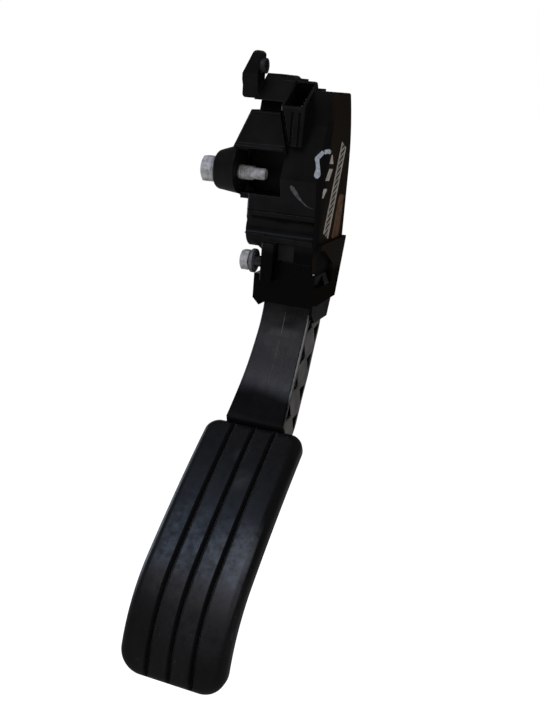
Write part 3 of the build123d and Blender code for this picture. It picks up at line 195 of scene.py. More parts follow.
def mouldedPlastic(name, look):
    material, tree, shader, place = newFinish(name)
    cloud = noise(tree, place, look["cloudScale"], 5.0, 0.6)
    grain = noise(tree, place, look["grainScale"], 2.0)
    rub = noise(tree, stretched(tree, place, look["rubScale"]), 1.0, 4.0, 0.7)
    edge, rounded = edgeMask(tree, look["edgeRadius"], 0.02, 0.30)
    # pale edges: wear on housing and cover, a painted highlight on the arm's edges
    patchy = spread(tree, cloud, 0.38, 0.72, 0.15, look["wearAndHighlightShare"])
    wearAndEdgeHighlight = combine(tree, "MULTIPLY", edge, patchy)
    # painted highlight on the arm's edges that face front-right
    if "edgeHighlightFacing" in look:
        paintedEdgeHighlight = facingMask(tree, look["edgeHighlightFacing"], 0.86, 0.97)
        paintedEdgeHighlight = combine(tree, "MULTIPLY", paintedEdgeHighlight, spread(tree, rub, 0.3, 0.6, 0.4, 1.0))
        wearAndEdgeHighlight = combine(tree, "MAXIMUM", wearAndEdgeHighlight, paintedEdgeHighlight)
    base = blendColour(tree, spread(tree, cloud, 0.3, 0.72), look["dark"], look["light"])
    base = blendColour(tree, wearAndEdgeHighlight, base, look["wearAndEdgeHighlight"])

    # another tone beyond a line across the part, a little uneven: mostly painted shade, and on the arm's lip
    # painted light
    shine = look["specular"]
    for shade in look["tonesWithPaintedShadeAndLight"]:
        wander = combine(tree, "MULTIPLY", combine(tree, "SUBTRACT", cloud, 0.5), shade["over"] * 2)
        along = combine(tree, "ADD", alongLine(tree, place, shade["line"]), wander)
        beyond = spread(tree, along, shade["at"] - shade["over"], shade["at"] + shade["over"], 1.0, 0.0)
        if "facing" in shade:
            beyond = combine(tree, "MULTIPLY", beyond, facingMask(tree, shade["facing"], 0.2, 0.5))
        base = blendColour(tree, beyond, base, shade["tone"])
        if "specular" in shade:
            shine = blendValue(tree, beyond, shine, shade["specular"])
    for direction in look.get("dullFaces", []):
        shine = blendValue(tree, facingMask(tree, direction, 0.95, 0.99), shine, look["dullSpecular"])
    feed(tree, shader.inputs["Specular IOR Level"], shine)
    feed(tree, shader.inputs["Base Color"], base)

    mixed = combine(tree, "ADD", combine(tree, "MULTIPLY", cloud, 0.7), combine(tree, "MULTIPLY", rub, 0.3))
    rough = spread(tree, mixed, 0.36, 0.64, look["roughLow"], look["roughHigh"])
    feed(tree, shader.inputs["Roughness"], rough)
    soft = bumpFrom(tree, grain, 0.35, look["grainDepth"], rounded)
    feed(tree, shader.inputs["Normal"], bumpFrom(tree, rub, 0.08, look["rubDepth"], soft))
    return material


# rubber of the pad, with paler patches on its up-facing faces, painted shade on one groove wall and painted
# light on the other
padLook = {
    "dark": (0.0017, 0.0016, 0.0019, 1), "light": (0.0046, 0.0044, 0.0050, 1),
    "scuff": (0.036, 0.036, 0.040, 1),
    "specular": 0.40, "roughLow": 0.25, "roughHigh": 0.43, "edgeWear": 0.14, "edgeRadius": 0.0004,
    "smearScale": (60.0, 26.0, 26.0), "blotchScale": 240.0, "blotchDepth": 0.00010,
    "pebbleScale": 1500.0, "pebbleDepth": 0.00003, "speckScale": 620.0,
    "scuffScale": (1300.0, 90.0, 90.0), "scuffTurn": (0, 0, 18),
    "patchFacing": (0.0, -0.70, 0.714), "wallFade": 0.001,
    # groove walls with painted shade and painted light: facing, along x from and to, tone
    "walls": [((0.80, -0.38, 0.46), 0.0100, 0.0530, (0.0026, 0.0025, 0.0031, 1)),
              ((-0.80, -0.38, 0.46), 0.0100, 0.0530, (0.022, 0.023, 0.027, 1))],
    # centre, reach, colour of a paler patch on up-facing faces
    "palePatches": [((0.055, -0.098, -0.175), 0.032, (0.060, 0.064, 0.076, 1)),
             ((0.042, -0.110, -0.190), 0.040, (0.0125, 0.0120, 0.0142, 1)),
             ((0.0145, -0.1244, -0.218), 0.0017, (0.060, 0.060, 0.060, 1)),
             ((0.0354, -0.061, -0.1458), 0.0090, (0.0150, 0.0155, 0.0175, 1)),
             ((0.0300, -0.050, -0.1370), 0.0060, (0.0110, 0.0110, 0.0120, 1))],
}


def padRubber(name, look):
    material, tree, shader, place = newFinish(name)
    smear = noise(tree, stretched(tree, place, look["smearScale"]), 1.0, 6.0, 0.62)
    blotch = noise(tree, place, look["blotchScale"], 6.0, 0.65)
    cells = {"Vector": place, "Scale": look["pebbleScale"]}
    pebble = addNode(tree, "ShaderNodeTexVoronoi", cells).outputs["Distance"]
    speck = noise(tree, place, look["speckScale"], 2.0)
    streaked = stretched(tree, place, look["scuffScale"], look["scuffTurn"])
    scuff = noise(tree, streaked, 1.0, 3.0, 0.65)
    edge, rounded = edgeMask(tree, look["edgeRadius"], 0.02, 0.3)
    base = blendColour(tree, spread(tree, smear, 0.32, 0.7), look["dark"], look["light"])
    upward = facingMask(tree, look["patchFacing"], 0.80, 0.95)
    for centre, reach, colour in look["palePatches"]:
        apart = addNode(tree, "ShaderNodeVectorMath", {0: place, 1: centre}, operation="DISTANCE")
        away = spread(tree, apart.outputs["Value"], 0.1 * reach, reach, 1.0, 0.0)
        near = combine(tree, "MULTIPLY", away, upward)
        patchy = combine(tree, "MULTIPLY", near, spread(tree, blotch, 0.25, 0.62, 0.2, 1.0))
        base = blendColour(tree, patchy, base, colour)
    across = alongLine(tree, place, (1, 0, 0))
    fade = look["wallFade"]
    # painted shade on one groove wall, painted light on the other
    for facing, start, end, tone in look["walls"]:
        inner = combine(tree, "MULTIPLY", spread(tree, across, start, start + fade),
                        spread(tree, across, end - fade, end, 1.0, 0.0))
        wall = combine(tree, "MULTIPLY", facingMask(tree, facing, 0.90, 0.98), inner)
        uneven = combine(tree, "MULTIPLY", wall, spread(tree, smear, 0.3, 0.7, 0.75, 1.0))
        base = blendColour(tree, uneven, base, tone)
    marks = combine(tree, "MULTIPLY", spread(tree, scuff, 0.64, 0.76), spread(tree, smear, 0.48, 0.66))
    marks = combine(tree, "MAXIMUM", marks, spread(tree, speck, 0.72, 0.80, 0.0, 0.7))
    marks = combine(tree, "MAXIMUM", marks, combine(tree, "MULTIPLY", edge, look["edgeWear"]))
    feed(tree, shader.inputs["Base Color"], blendColour(tree, marks, base, look["scuff"]))
    smeared = combine(tree, "MULTIPLY", smear, 0.4)
    mixed = combine(tree, "ADD", smeared, combine(tree, "MULTIPLY", blotch, 0.6))
    rough = spread(tree, mixed, 0.36, 0.64, look["roughHigh"], look["roughLow"])
    feed(tree, shader.inputs["Roughness"], rough)
    pebbled = bumpFrom(tree, pebble, 0.25, look["pebbleDepth"], rounded)
    feed(tree, shader.inputs["Normal"], bumpFrom(tree, blotch, 0.10, look["blotchDepth"], pebbled))
    shader.inputs["Specular IOR Level"].default_value = look["specular"]
    return material


# plated, blackened and bare metals: pale and dull tone, least and most roughness, metallic share
metalLooks = {
    "brightZinc": ((0.42, 0.42, 0.43, 1), (0.22, 0.22, 0.225, 1), 0.42, 0.60, 0.35),
    # a darker copy of the bright zinc: painted shade on the lower bolt's thread
    "shadedZinc": ((0.060, 0.060, 0.062, 1), (0.024, 0.024, 0.025, 1), 0.40, 0.60, 0.3),
    "washerSteel": ((0.17, 0.17, 0.18, 1), (0.075, 0.075, 0.078, 1), 0.34, 0.52, 0.5),
    "blackSteel": ((0.040, 0.040, 0.045, 1), (0.014, 0.014, 0.016, 1), 0.36, 0.55, 0.6),
    "pinSteel": ((0.60, 0.60, 0.61, 1), (0.36, 0.36, 0.36, 1), 0.20, 0.36, 1.0),
    "springWire": ((0.42, 0.42, 0.44, 1), (0.16, 0.15, 0.14, 1), 0.22, 0.40, 1.0),
    "bushBronze": ((0.60, 0.42, 0.19, 1), (0.32, 0.20, 0.09, 1), 0.26, 0.45, 1.0),
    "terminalTin": ((0.66, 0.56, 0.33, 1), (0.36, 0.29, 0.16, 1), 0.18, 0.36, 1.0),
    "rotorMagnet": ((0.16, 0.16, 0.17, 1), (0.07, 0.07, 0.075, 1), 0.40, 0.62, 1.0),
}
# what all the metals share
metalGrain = {"bloomScale": 420.0, "turningScale": (3800.0, 240.0, 240.0), "turningDepth": 0.00003,
              "edgeRadius": 0.0003, "edgePale": 0.5}


def platedMetal(name):
    paleTone, dullTone, roughLow, roughHigh, metal = metalLooks[name]
    material, tree, shader, place = newFinish(name)
    bloom = noise(tree, place, metalGrain["bloomScale"], 5.0, 0.65)
    turning = noise(tree, stretched(tree, place, metalGrain["turningScale"]), 1.0, 2.0)
    edge, rounded = edgeMask(tree, metalGrain["edgeRadius"], 0.02, 0.35)
    base = blendColour(tree, spread(tree, bloom, 0.42, 0.68), paleTone, dullTone)
    base = blendColour(tree, combine(tree, "MULTIPLY", edge, metalGrain["edgePale"]), base, paleTone)
    feed(tree, shader.inputs["Base Color"], base)
    feed(tree, shader.inputs["Roughness"], spread(tree, bloom, 0.3, 0.7, roughLow, roughHigh))
    feed(tree, shader.inputs["Normal"], bumpFrom(tree, turning, 0.12, metalGrain["turningDepth"], rounded))
    shader.inputs["Metallic"].default_value = metal
    return material


# plain finishes of inner parts, paint and stickers: dark and light tone, least and most roughness, scale
plainLooks = {
    "seatNylon": ((0.52, 0.50, 0.44, 1), (0.70, 0.68, 0.61, 1), 0.42, 0.58, 240.0),
    "boardMask": ((0.012, 0.085, 0.036, 1), (0.025, 0.150, 0.064, 1), 0.22, 0.36, 320.0),
    "chipResin": ((0.010, 0.010, 0.011, 1), (0.024, 0.024, 0.025, 1), 0.45, 0.60, 900.0),
    "sealRubber": ((0.006, 0.006, 0.006, 1), (0.016, 0.016, 0.017, 1), 0.50, 0.70, 500.0),
    "dabPaint": ((0.165, 0.18, 0.21, 1), (0.27, 0.29, 0.33, 1), 0.35, 0.55, 700.0),
    # the paint stroke, whose thin tail is a painted highlight along a curved edge
    "thinPaintAndHighlight": ((0.020, 0.020, 0.024, 1), (0.070, 0.070, 0.080, 1), 0.40, 0.60, 900.0),
    "bareTag": ((0.16, 0.145, 0.128, 1), (0.27, 0.245, 0.215, 1), 0.45, 0.65, 520.0),
    "bareLabel": ((0.13, 0.115, 0.100, 1), (0.22, 0.196, 0.170, 1), 0.45, 0.65, 520.0),
    # the arm's parting ridge, lighter than the arm: a painted highlight
    "ridgePaintedHighlight": ((0.024, 0.024, 0.026, 1), (0.070, 0.069, 0.073, 1), 0.28, 0.42, 420.0),
    # a lighter sheet on the housing's lower front, inside its painted shade zone
    "panelPlastic": ((0.0062, 0.0061, 0.0060, 1), (0.0100, 0.0098, 0.0096, 1), 0.42, 0.58, 190.0),
    "brownStain": ((0.046, 0.016, 0.002, 1), (0.092, 0.036, 0.005, 1), 0.55, 0.75, 260.0),
}
# what all the plain finishes share
plainGrain = {"scale": 2400.0, "depth": 0.00002, "specular": 0.3}
# plain slanted bars on the label
labelBars = {"across": (0, 0.931, -0.364), "lean": (0, 0.474, -1.259), "pitch": 0.0034, "low": 0.0149,
             "high": 0.0203, "fade": 0.0003, "tone": (0.014, 0.011, 0.008, 1)}


def plainFinish(name, bars=None):
    dark, light, roughLow, roughHigh, scale = plainLooks[name]
    material, tree, shader, place = newFinish(name)
    cloud = noise(tree, place, scale, 4.0, 0.6)
    grain = noise(tree, place, plainGrain["scale"], 2.0)
    base = blendColour(tree, spread(tree, cloud, 0.3, 0.7), dark, light)
    if bars:
        across = alongLine(tree, place, bars["across"])
        leaning = alongLine(tree, place, bars["lean"])
        turns = combine(tree, "SINE", combine(tree, "MULTIPLY", leaning, 2 * math.pi / bars["pitch"]), 0.0)
        fade = bars["fade"]
        inside = combine(tree, "MULTIPLY", spread(tree, across, bars["low"] - fade, bars["low"] + fade),
                         spread(tree, across, bars["high"] - fade, bars["high"] + fade, 1.0, 0.0))
        barred = combine(tree, "MULTIPLY", inside, spread(tree, turns, -0.5, -0.1))
        base = blendColour(tree, barred, base, bars["tone"])
    feed(tree, shader.inputs["Base Color"], base)
    feed(tree, shader.inputs["Roughness"], spread(tree, cloud, 0.3, 0.7, roughLow, roughHigh))
    feed(tree, shader.inputs["Normal"], bumpFrom(tree, grain, 0.2, plainGrain["depth"]))
    shader.inputs["Specular IOR Level"].default_value = plainGrain["specular"]
    return material


finishes = {"housingPlastic": mouldedPlastic("housingPlastic", housingLook),
            "coverPlastic": mouldedPlastic("coverPlastic", coverLook),
            "armPlastic": mouldedPlastic("armPlastic", armLook),
            "padRubber": padRubber("padRubber", padLook)}
for name in metalLooks:
    finishes[name] = platedMetal(name)
for name in plainLooks:
    finishes[name] = plainFinish(name, labelBars if name == "bareLabel" else None)

nodeFinish = {
    "housing": "housingPlastic", "sensor_cover": "coverPlastic",
    "pedal_arm": "armPlastic", "pedal_pad": "padRubber",
    "upper_bolt": "brightZinc", "lower_bolt": "brightZinc",
    "lower_washer": "washerSteel", "ear_bush": "blackSteel",
    "boss_sleeve": "pinSteel", "pivot_pin": "pinSteel",
    "lower_insert": "bushBronze", "left_bush": "bushBronze", "right_bush": "bushBronze",
    "outer_spring": "springWire", "inner_spring": "springWire",
    "upper_spring_seat": "seatNylon", "lower_spring_seat": "seatNylon", "friction_shoe": "seatNylon",
    "idle_stop": "sealRubber", "kickdown_stop": "sealRubber", "cover_seal": "sealRubber",
    "sensor_board": "boardMask", "hall_sensors": "chipResin", "sensor_rotor": "rotorMagnet",
    "connector_terminals": "terminalTin",
}


def dressNodes():
    for name, finish in nodeFinish.items():
        mesh = cadNodes[name].data
        mesh.materials.clear()
        mesh.materials.append(finishes[finish])


dressNodes()
print("finishes on", len(nodeFinish), "nodes")


# shared steps for the pieces made here
def onlySelect(*pieces):
    bpy.ops.object.select_all(action="DESELECT")
    for piece in pieces:
        piece.select_set(True)
    bpy.context.view_layer.objects.active = pieces[0]


def settle(piece):
    onlySelect(piece)
    bpy.ops.object.transform_apply(location=True, rotation=True, scale=True)


def applyModifier(piece, kind, **settings):
    onlySelect(piece)
    modifier = piece.modifiers.new(kind, kind)
    for key, value in settings.items():
        setattr(modifier, key, value)
    bpy.ops.object.modifier_apply(modifier=modifier.name)


def finishPiece(piece, name, finish, body, smoothAngle=30.0):
    piece.name = name
    piece.data.name = name
    if finish:
        piece.data.materials.clear()
        piece.data.materials.append(finishes[finish])
    onlySelect(piece)
    bpy.ops.object.shade_smooth_by_angle(angle=math.radians(smoothAngle))
    bpy.ops.object.select_all(action="DESELECT")
    if body:
        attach(piece, body)


# the two bolts, with their threads, in millimetres along and off their own axis
boltMake = {"sides": 48, "coneSides": 64, "coneInset": 0.35, "coneFlare": 1.75, "edgeBevel": 0.22,
            "bevelAngle": 25.0, "threadSteps": 40, "mergeGap": 0.001}
upperBolt = {
    "axis": (0.0, 0.0), "headTop": -21.5, "headFoot": -15.0, "across": 13.0, "crown": 0.9,
    "threadStart": -1.2, "threadTurns": 6, "pitch": 1.25, "rootRadius": 3.20, "crestRadius": 3.76,
    "turned": [(-15.1, 5.8), (-15.0, 6.5), (-14.2, 7.75), (-13.6, 7.75), (-13.42, 7.6), (-13.4, 3.6),
               (-1.6, 3.6), (-1.3, 3.21), (7.0, 3.21), (7.5, 3.0), (13.2, 3.0), (13.95, 2.4)],
}
lowerBolt = {
    "axis": (-5.25, -45.1), "headTop": 6.0, "headFoot": 10.6, "across": 10.0, "crown": 0.7,
    "threadStart": 11.6, "threadTurns": 10, "pitch": 1.0, "rootRadius": 2.45, "crestRadius": 2.98,
    "turned": [(10.5, 4.4), (10.6, 5.0), (11.1, 5.55), (11.7, 5.55), (11.8, 5.4), (11.8, 2.46), (22.0, 2.46),
               (22.6, 2.0)],
}


def turnedBody(look):
    # one disc, extruded and resized ring by ring along the bolt's axis
    y, z = look["axis"]
    x, radius = look["turned"][0]
    bpy.ops.mesh.primitive_circle_add(vertices=boltMake["sides"], radius=radius * mm, fill_type="NGON",
                                      location=(x * mm, y * mm, z * mm), rotation=(0, math.radians(90), 0))
    piece = bpy.context.object
    settle(piece)
    bpy.ops.object.mode_set(mode="EDIT")
    bpy.ops.mesh.select_all(action="SELECT")
    for nextX, nextRadius in look["turned"][1:]:
        bpy.ops.mesh.extrude_region_move(TRANSFORM_OT_translate={"value": ((nextX - x) * mm, 0, 0)})
        share = nextRadius / radius
        bpy.ops.transform.resize(value=(1, share, share), center_override=(nextX * mm, y * mm, z * mm))
        x, radius = nextX, nextRadius
    bpy.ops.mesh.select_all(action="SELECT")
    bpy.ops.mesh.normals_make_consistent(inside=False)
    bpy.ops.object.mode_set(mode="OBJECT")
    return piece


def hexHead(look):
    # a six-sided bar with its corners turned down by a cone
    y, z = look["axis"]
    height = look["headFoot"] - look["headTop"]
    middle = ((look["headTop"] + look["headFoot"]) / 2 * mm, y * mm, z * mm)
    flatR = look["across"] / 2
    cornerR = flatR / math.cos(math.radians(30))
    bpy.ops.mesh.primitive_cylinder_add(vertices=6, radius=cornerR * mm, depth=height * mm, location=middle,
                                        rotation=(0, math.radians(90), 0))
    head = bpy.context.object
    settle(head)
    smallR = flatR - look["crown"] * boltMake["coneInset"]
    largeR = flatR + height * boltMake["coneFlare"]
    bpy.ops.mesh.primitive_cone_add(vertices=boltMake["coneSides"], radius1=smallR * mm, radius2=largeR * mm,
                                    depth=height * mm, location=middle, rotation=(0, math.radians(90), 0))
    cone = bpy.context.object
    settle(cone)
    applyModifier(head, "BOOLEAN", object=cone, operation="INTERSECT", solver="EXACT")
    bpy.data.objects.remove(cone)
    applyModifier(head, "BEVEL", width=boltMake["edgeBevel"] * mm, segments=2, limit_method="ANGLE",
                  angle_limit=math.radians(boltMake["bevelAngle"]))
    return head


def threadOf(look):
    # one tooth, opened from a ring and screwed along the axis
    y, z = look["axis"]
    # share of the pitch, radius there
    tooth = [(0.0, "rootRadius"), (0.40, "crestRadius"), (0.52, "crestRadius"), (0.92, "rootRadius"),
             (1.0, "rootRadius")]
    bpy.ops.mesh.primitive_circle_add(vertices=len(tooth), fill_type="NOTHING")
    piece = bpy.context.object
    for vertex, (share, radius) in zip(piece.data.vertices, tooth):
        vertex.co = ((look["threadStart"] + share * look["pitch"]) * mm, 0, look[radius] * mm)
        vertex.select = False
    for edge in piece.data.edges:
        edge.select = set(edge.vertices) == {0, len(tooth) - 1}
    bpy.ops.object.mode_set(mode="EDIT")
    bpy.ops.mesh.select_mode(type="EDGE")
    bpy.ops.mesh.delete(type="EDGE")
    bpy.ops.object.mode_set(mode="OBJECT")
    applyModifier(piece, "SCREW", axis="X", angle=2 * math.pi, screw_offset=look["pitch"] * mm,
                  iterations=look["threadTurns"], steps=boltMake["threadSteps"],
                  render_steps=boltMake["threadSteps"], use_merge_vertices=True,
                  merge_threshold=boltMake["mergeGap"] * mm)
    bpy.ops.object.mode_set(mode="EDIT")
    bpy.ops.mesh.select_all(action="SELECT")
    bpy.ops.mesh.normals_make_consistent(inside=False)
    bpy.ops.object.mode_set(mode="OBJECT")
    piece.location = (0, y * mm, z * mm)
    settle(piece)
    return piece


def makeBolt(name, look, node, threadFinish):
    body, head, thread = turnedBody(look), hexHead(look), threadOf(look)
    body.data.materials.append(finishes[threadFinish])
    head.data.materials.append(finishes["brightZinc"])
    thread.data.materials.append(finishes[threadFinish])
    onlySelect(body, head, thread)
    bpy.ops.object.join()
    finishPiece(body, name, None, "frame")
    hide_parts(node)


makeBolt("upperBoltThreaded", upperBolt, "upper_bolt", "brightZinc")
# the lower bolt's thread takes the darker zinc, as painted shade
makeBolt("lowerBoltThreaded", lowerBolt, "lower_bolt", "shadedZinc")
print("bolts made")


# return springs, wound again
springLook = {
    "centre": (26.75, 29.5), "low": -23.6, "high": 8.0, "turns": 6, "wireSides": 14, "steps": 40,
    "mergeGap": 0.01, "stiffEnd": 2.6,  # length at each end
    "outerSpringWound": {"node": "outer_spring", "ring": 5.6, "wire": 0.9},
    "innerSpringWound": {"node": "inner_spring", "ring": 3.1, "wire": 0.7},
}


def makeSpring(name):
    look = springLook[name]
    x, y = springLook["centre"]
    wire = look["wire"]
    rise = springLook["high"] - springLook["low"] - 2 * wire
    bpy.ops.mesh.primitive_circle_add(vertices=springLook["wireSides"], radius=wire * mm,
                                      fill_type="NOTHING", location=(look["ring"] * mm, 0, 0),
                                      rotation=(math.radians(90), 0, 0))
    piece = bpy.context.object
    settle(piece)
    applyModifier(piece, "SCREW", axis="Z", angle=2 * math.pi, screw_offset=rise / springLook["turns"] * mm,
                  iterations=springLook["turns"], steps=springLook["steps"],
                  render_steps=springLook["steps"], use_merge_vertices=False)
    bpy.ops.object.mode_set(mode="EDIT")
    bpy.ops.mesh.select_all(action="SELECT")
    bpy.ops.mesh.remove_doubles(threshold=springLook["mergeGap"] * mm)
    bpy.ops.mesh.fill_holes(sides=springLook["wireSides"])
    bpy.ops.mesh.normals_make_consistent(inside=False)
    bpy.ops.object.mode_set(mode="OBJECT")
    piece.location = (x * mm, y * mm, (springLook["low"] + wire) * mm)
    settle(piece)
    finishPiece(piece, name, "springWire", None, smoothAngle=60.0)
    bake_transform(piece)
    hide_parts(look["node"])


makeSpring("outerSpringWound")
makeSpring("innerSpringWound")
print("springs wound")


# flat stickers on the cover's face: bare label, three tags, brown stain
stickerLook = {
    # name: (finish, thickness, corner radius, corners as (y, z) going round)
    "labelBand": ("bareLabel", 0.12, 0.5, [(21.5, 19.6), (3.2, -27.2), (12.6, -31.6), (30.0, 15.9)]),
    "tagUpper": ("bareTag", 0.10, 0.3, [(5.6, 13.2), (3.0, 8.7), (9.6, 8.3), (7.0, 13.1)]),
    "tagMiddle": ("bareTag", 0.10, 0.4, [(3.4, 6.2), (-1.6, 0.4), (4.8, 0.0), (9.4, 5.8)]),
    "tagLower": ("bareTag", 0.10, 0.3, [(-3.2, -3.5), (-4.6, -8.2), (-2.2, -8.4), (2.8, -4.0)]),
    "stainPatch": ("brownStain", 0.04, 2.4, [(25.8, -8.6), (18.6, -32.2), (31.6, -32.3), (35.0, -9.4)]),
}
stickerMake = {"face": 47.0, "lift": 0.02, "cornerSteps": 4}


def makeSticker(name, finish, thickness, cornerRadius, corners):
    bpy.ops.mesh.primitive_plane_add(size=2)
    piece = bpy.context.object
    x = (stickerMake["face"] + stickerMake["lift"]) * mm
    order = {(-1, 1): 0, (-1, -1): 1, (1, -1): 2, (1, 1): 3}
    for vertex in piece.data.vertices:
        y, z = corners[order[(round(vertex.co.x), round(vertex.co.y))]]
        vertex.co = (x, y * mm, z * mm)
    applyModifier(piece, "BEVEL", affect="VERTICES", width=cornerRadius * mm,
                  segments=stickerMake["cornerSteps"])
    bpy.ops.object.mode_set(mode="EDIT")
    bpy.ops.mesh.select_all(action="SELECT")
    bpy.ops.mesh.extrude_region_move(TRANSFORM_OT_translate={"value": (thickness * mm, 0, 0)})
    bpy.ops.mesh.select_all(action="SELECT")
    bpy.ops.mesh.normals_make_consistent(inside=False)
    bpy.ops.object.mode_set(mode="OBJECT")
    finishPiece(piece, name, finish, "frame")


for name, (finish, thickness, cornerRadius, corners) in stickerLook.items():
    makeSticker(name, finish, thickness, cornerRadius, corners)
print("stickers on the cover")


# paint on housing and cover (one stroke's thin tail a painted highlight along a curved edge), a lighter
# panel on the housing, the arm's parting ridge in a painted highlight: each lies on a face
stripMake = {"along": 60, "across": 8, "clear": 0.03, "lift": 1.0, "step": 0.01, "thick": 0.05}
stripLook = {
    "paintDab": {
        "body": "frame", "finish": "dabPaint", "facing": (0.0, -0.9226, 0.3858), "crown": 0.22,
        "path": [(44.9, -2.1, 14.8), (43.7, -2.79, 13.14), (42.7, -3.35, 11.82), (42.35, -3.65, 11.1),
                 (42.7, -4.1, 10.1), (43.36, -4.85, 8.24), (43.9, -5.64, 6.34), (44.1, -6.4, 4.5),
                 (44.2, -7.0, 3.0), (44.35, -7.6, 1.65)],
        "width": [2.1, 2.4, 2.5, 2.5, 2.1, 2.0, 2.2, 3.0, 3.2, 1.0],
    },
    "paintDabEnd": {
        "node": "sensor_cover", "body": "frame", "finish": "dabPaint",
        "facing": (0.70, -0.66, 0.27), "crown": 0.10,
        "path": [(44.8, -2.2, 14.6), (46.06, -1.9, 15.0), (46.8, -0.9, 15.0), (47.0, 0.4, 14.9),
                 (47.0, 2.2, 14.6), (47.0, 4.4, 14.2)],
        "width": [2.3, 2.4, 2.3, 2.2, 2.4, 1.2],
    },
    # a paint stroke whose thin tail is a painted highlight along a curved edge
    "paintStrokeAndHighlight": {
        "node": "housing", "body": "frame", "finish": "thinPaintAndHighlight",
        "facing": (0.0, -0.98, -0.21), "crown": 0.06,
        "path": [(30.6, -7.8, -3.5), (31.4, -7.7, -4.3), (32.6, -7.4, -5.8), (34.1, -7.0, -7.9),
                 (36.0, -6.5, -10.0), (38.2, -6.1, -11.8), (40.8, -6.0, -13.2), (43.6, -6.0, -13.9)],
        "width": [1.2, 2.2, 2.4, 2.0, 1.2, 0.6, 0.4, 0.2],
    },
    "partingRidge": {
        "node": "pedal_arm", "body": "pedal", "finish": "ridgePaintedHighlight",
        "facing": (0.0, -0.9, 0.44), "crown": 0.16,
        "path": [(31.0, 0.0, -72.2), (31.0, -1.0, -75.0), (31.0, -2.4, -78.5), (31.0, -6.0, -86.1),
                 (31.0, -10.3, -94.1), (31.0, -14.6, -101.5), (31.0, -17.2, -105.5), (31.0, -19.4, -108.8)],
        "width": [0.3, 0.5, 0.5, 0.5, 0.5, 0.55, 0.6, 0.3],
        "slot": "arm_plastic",
    },
    "lighterPanel": {
        "body": "frame", "finish": "panelPlastic", "facing": (0.0, -1.0, 0.0), "crown": 0.03,
        "path": [(29.3, -3.0, -35.0), (29.3, -3.0, -37.9), (29.3, -3.0, -40.8), (29.3, -3.0, -43.7)],
        "width": [9.0, 9.0, 9.0, 9.0],
        "slot": "housing_plastic",
    },
}


def alongPath(points, share):
    # a point on a smooth curve through the listed ones
    place = share * (len(points) - 1)
    first = min(int(place), len(points) - 2)
    part = place - first
    last = len(points) - 1
    before, start, end, after = (points[min(max(first + step, 0), last)] for step in (-1, 0, 1, 2))
    return (start * 2 + (end - before) * part + (before * 2 - start * 5 + end * 4 - after) * part ** 2
            + (start * 3 - before - end * 3 + after) * part ** 3) * 0.5


def makeStrip(name, look):
    points = [Vector(point) * mm for point in look["path"]]
    widths = [Vector((width * mm, 0, 0)) for width in look["width"]]
    facing = Vector(look["facing"]).normalized()
    bpy.ops.mesh.primitive_grid_add(x_subdivisions=stripMake["along"],
                                    y_subdivisions=stripMake["across"], size=2)
    piece = bpy.context.object
    bulge = {}
    for vertex in piece.data.vertices:
        share = (vertex.co.x + 1) / 2
        side = vertex.co.y
        ahead = alongPath(points, min(share + stripMake["step"], 1))
        ahead = ahead - alongPath(points, max(share - stripMake["step"], 0))
        across = facing.cross(ahead).normalized()
        bulge[vertex.index] = 1 - side ** 2
        lift = facing * mm * (stripMake["lift"] if "node" in look else stripMake["clear"])
        vertex.co = alongPath(points, share) + across * side * alongPath(widths, share).x / 2 + lift
    if "node" in look:
        applyModifier(piece, "SHRINKWRAP", target=cadNodes[look["node"]], wrap_method="NEAREST_SURFACEPOINT",
                      offset=stripMake["clear"] * mm)
    for vertex in piece.data.vertices:
        vertex.co += facing * look["crown"] * mm * bulge[vertex.index]
    # closed below, a little into the face that carries it
    applyModifier(piece, "SOLIDIFY", thickness=stripMake["thick"] * mm, offset=-1.0)
    finishPiece(piece, name, look["finish"], look["body"], smoothAngle=60.0)


for name, look in stripLook.items():
    makeStrip(name, look)
print("paint, panel and parting ridge laid")


# studio: pale floor, soft lights, white surround
stage = {"floorDrop": 0.30, "floorSize": 60.0, "floorTone": (0.93, 0.93, 0.93, 1), "floorGlow": 0.12,
         "floorMirrored": 0.15, "floorRough": 0.9}
lamps = {
    # name: (place, aimed at, width, height, watts, colour)
    "windowLight": ((-0.34, -0.486, 0.791), (0.02, -0.09, -0.17), 0.45, 0.12, 0.80, (0.52, 0.69, 1.0)),
    "frontLight": ((-0.33, -0.66, 0.713), (0.03, 0.0, -0.09), 0.45, 0.12, 0.34, (0.90, 0.87, 1.0)),
    "lowFrontLight": ((-0.33, -0.836, 0.526), (0.03, 0.0, -0.09), 0.45, 0.12, 0.22, (0.92, 0.89, 1.0)),
    "backLight": ((0.21, 0.45, -0.27), (0.045, 0.0, -0.10), 0.30, 0.14, 0.025, (1.0, 0.93, 0.82)),
    "rearLight": ((-0.45, 0.80, -0.06), (0.02, 0.0, -0.08), 0.50, 0.40, 0.6, (1.0, 1.0, 1.0)),
    "leftLight": ((-0.90, 0.20, -0.08), (0.0, 0.0, -0.08), 0.50, 0.40, 1.5, (0.70, 0.82, 1.0)),
}
surround = {"seen": 1.0, "soft": 0.95, "mirrored": 0.08}


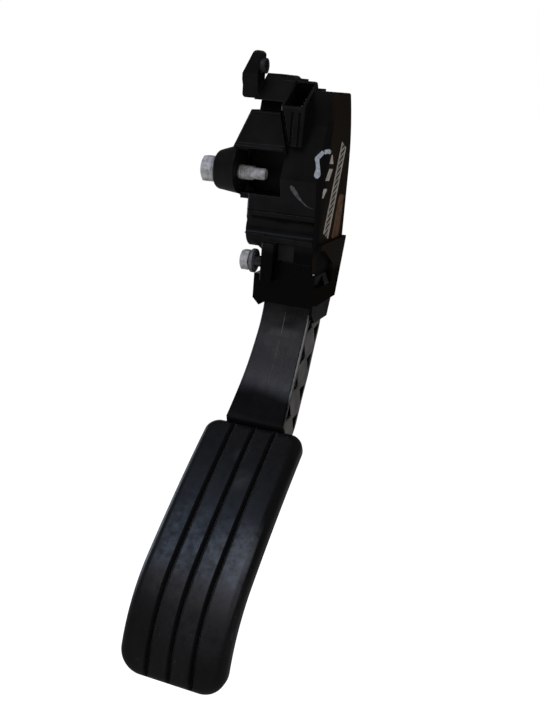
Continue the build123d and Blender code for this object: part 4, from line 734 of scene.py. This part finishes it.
def makeFloor():
    floorZ = cadBox[0].z - stage["floorDrop"]
    bpy.ops.mesh.primitive_plane_add(size=stage["floorSize"], location=(0, 0, floorZ))
    floor = bpy.context.object
    floor.name = "studioFloor"
    settle(floor)
    material, tree, shader = newFinish("paleFloor")[:3]
    shader.inputs["Base Color"].default_value = stage["floorTone"]
    shader.inputs["Roughness"].default_value = stage["floorRough"]
    shader.inputs["Specular IOR Level"].default_value = 0.0
    shader.inputs["Emission Color"].default_value = (1, 1, 1, 1)
    shader.inputs["Emission Strength"].default_value = stage["floorGlow"]
    # dim in reflections, so that black faces stay black over a white floor
    mirrored = addNode(tree, "ShaderNodeLightPath").outputs["Is Glossy Ray"]
    share = combine(tree, "MULTIPLY", mirrored, 1 - stage["floorMirrored"])
    black = addNode(tree, "ShaderNodeBsdfDiffuse", {"Color": (0, 0, 0, 1)})
    inputs = {0: share, 1: shader.outputs["BSDF"], 2: black.outputs["BSDF"]}
    mixed = addNode(tree, "ShaderNodeMixShader", inputs)
    tree.links.new(mixed.outputs["Shader"], tree.nodes["Material Output"].inputs["Surface"])
    floor.data.materials.append(material)
    floor.select_set(False)


def makeLamps():
    for name, (place, aim, width, height, watts, colour) in lamps.items():
        lamp = bpy.data.lights.new(name, "AREA")
        lamp.shape = "RECTANGLE"
        lamp.size = width
        lamp.size_y = height
        lamp.energy = watts
        lamp.color = colour
        holder = bpy.data.objects.new(name, lamp)
        bpy.context.scene.collection.objects.link(holder)
        holder.location = place
        holder.rotation_euler = (Vector(aim) - Vector(place)).to_track_quat("-Z", "Y").to_euler()
        holder.visible_camera = False


def makeSurround():
    # white to the camera and to the floor, dim in reflections
    world = bpy.data.worlds.new("surround")
    bpy.context.scene.world = world
    world.use_nodes = True
    tree = world.node_tree
    path = addNode(tree, "ShaderNodeLightPath")
    dimmed = surround["soft"] - surround["mirrored"]
    mirrored = combine(tree, "MULTIPLY", path.outputs["Is Glossy Ray"], dimmed)
    lit = combine(tree, "SUBTRACT", surround["soft"], mirrored)
    extra = combine(tree, "MULTIPLY", path.outputs["Is Camera Ray"], surround["seen"] - surround["soft"])
    white = tree.nodes["Background"]
    white.inputs["Color"].default_value = (1, 1, 1, 1)
    tree.links.new(combine(tree, "ADD", lit, extra), white.inputs["Strength"])


# camera fitted to the photograph
shot = {"place": (0.1872, -0.4480, 0.0472), "azimuth": 20.0, "elevation": 17.2, "roll": 4.5,
        "lens": 45.0, "sensor": 36.0}


def makeCamera():
    data = bpy.data.cameras.new("shotCamera")
    data.lens = shot["lens"]
    data.sensor_width = shot["sensor"]
    camera = bpy.data.objects.new("shotCamera", data)
    bpy.context.scene.collection.objects.link(camera)
    turn = (Matrix.Rotation(math.radians(shot["azimuth"]), 4, "Z")
            @ Matrix.Rotation(math.radians(90 - shot["elevation"]), 4, "X")
            @ Matrix.Rotation(math.radians(shot["roll"]), 4, "Z"))
    camera.matrix_world = Matrix.Translation(shot["place"]) @ turn
    bpy.context.scene.camera = camera


makeFloor()
makeLamps()
makeSurround()
makeCamera()
bpy.context.scene.view_settings.view_transform = "Standard"
print("stage, lights and camera set")
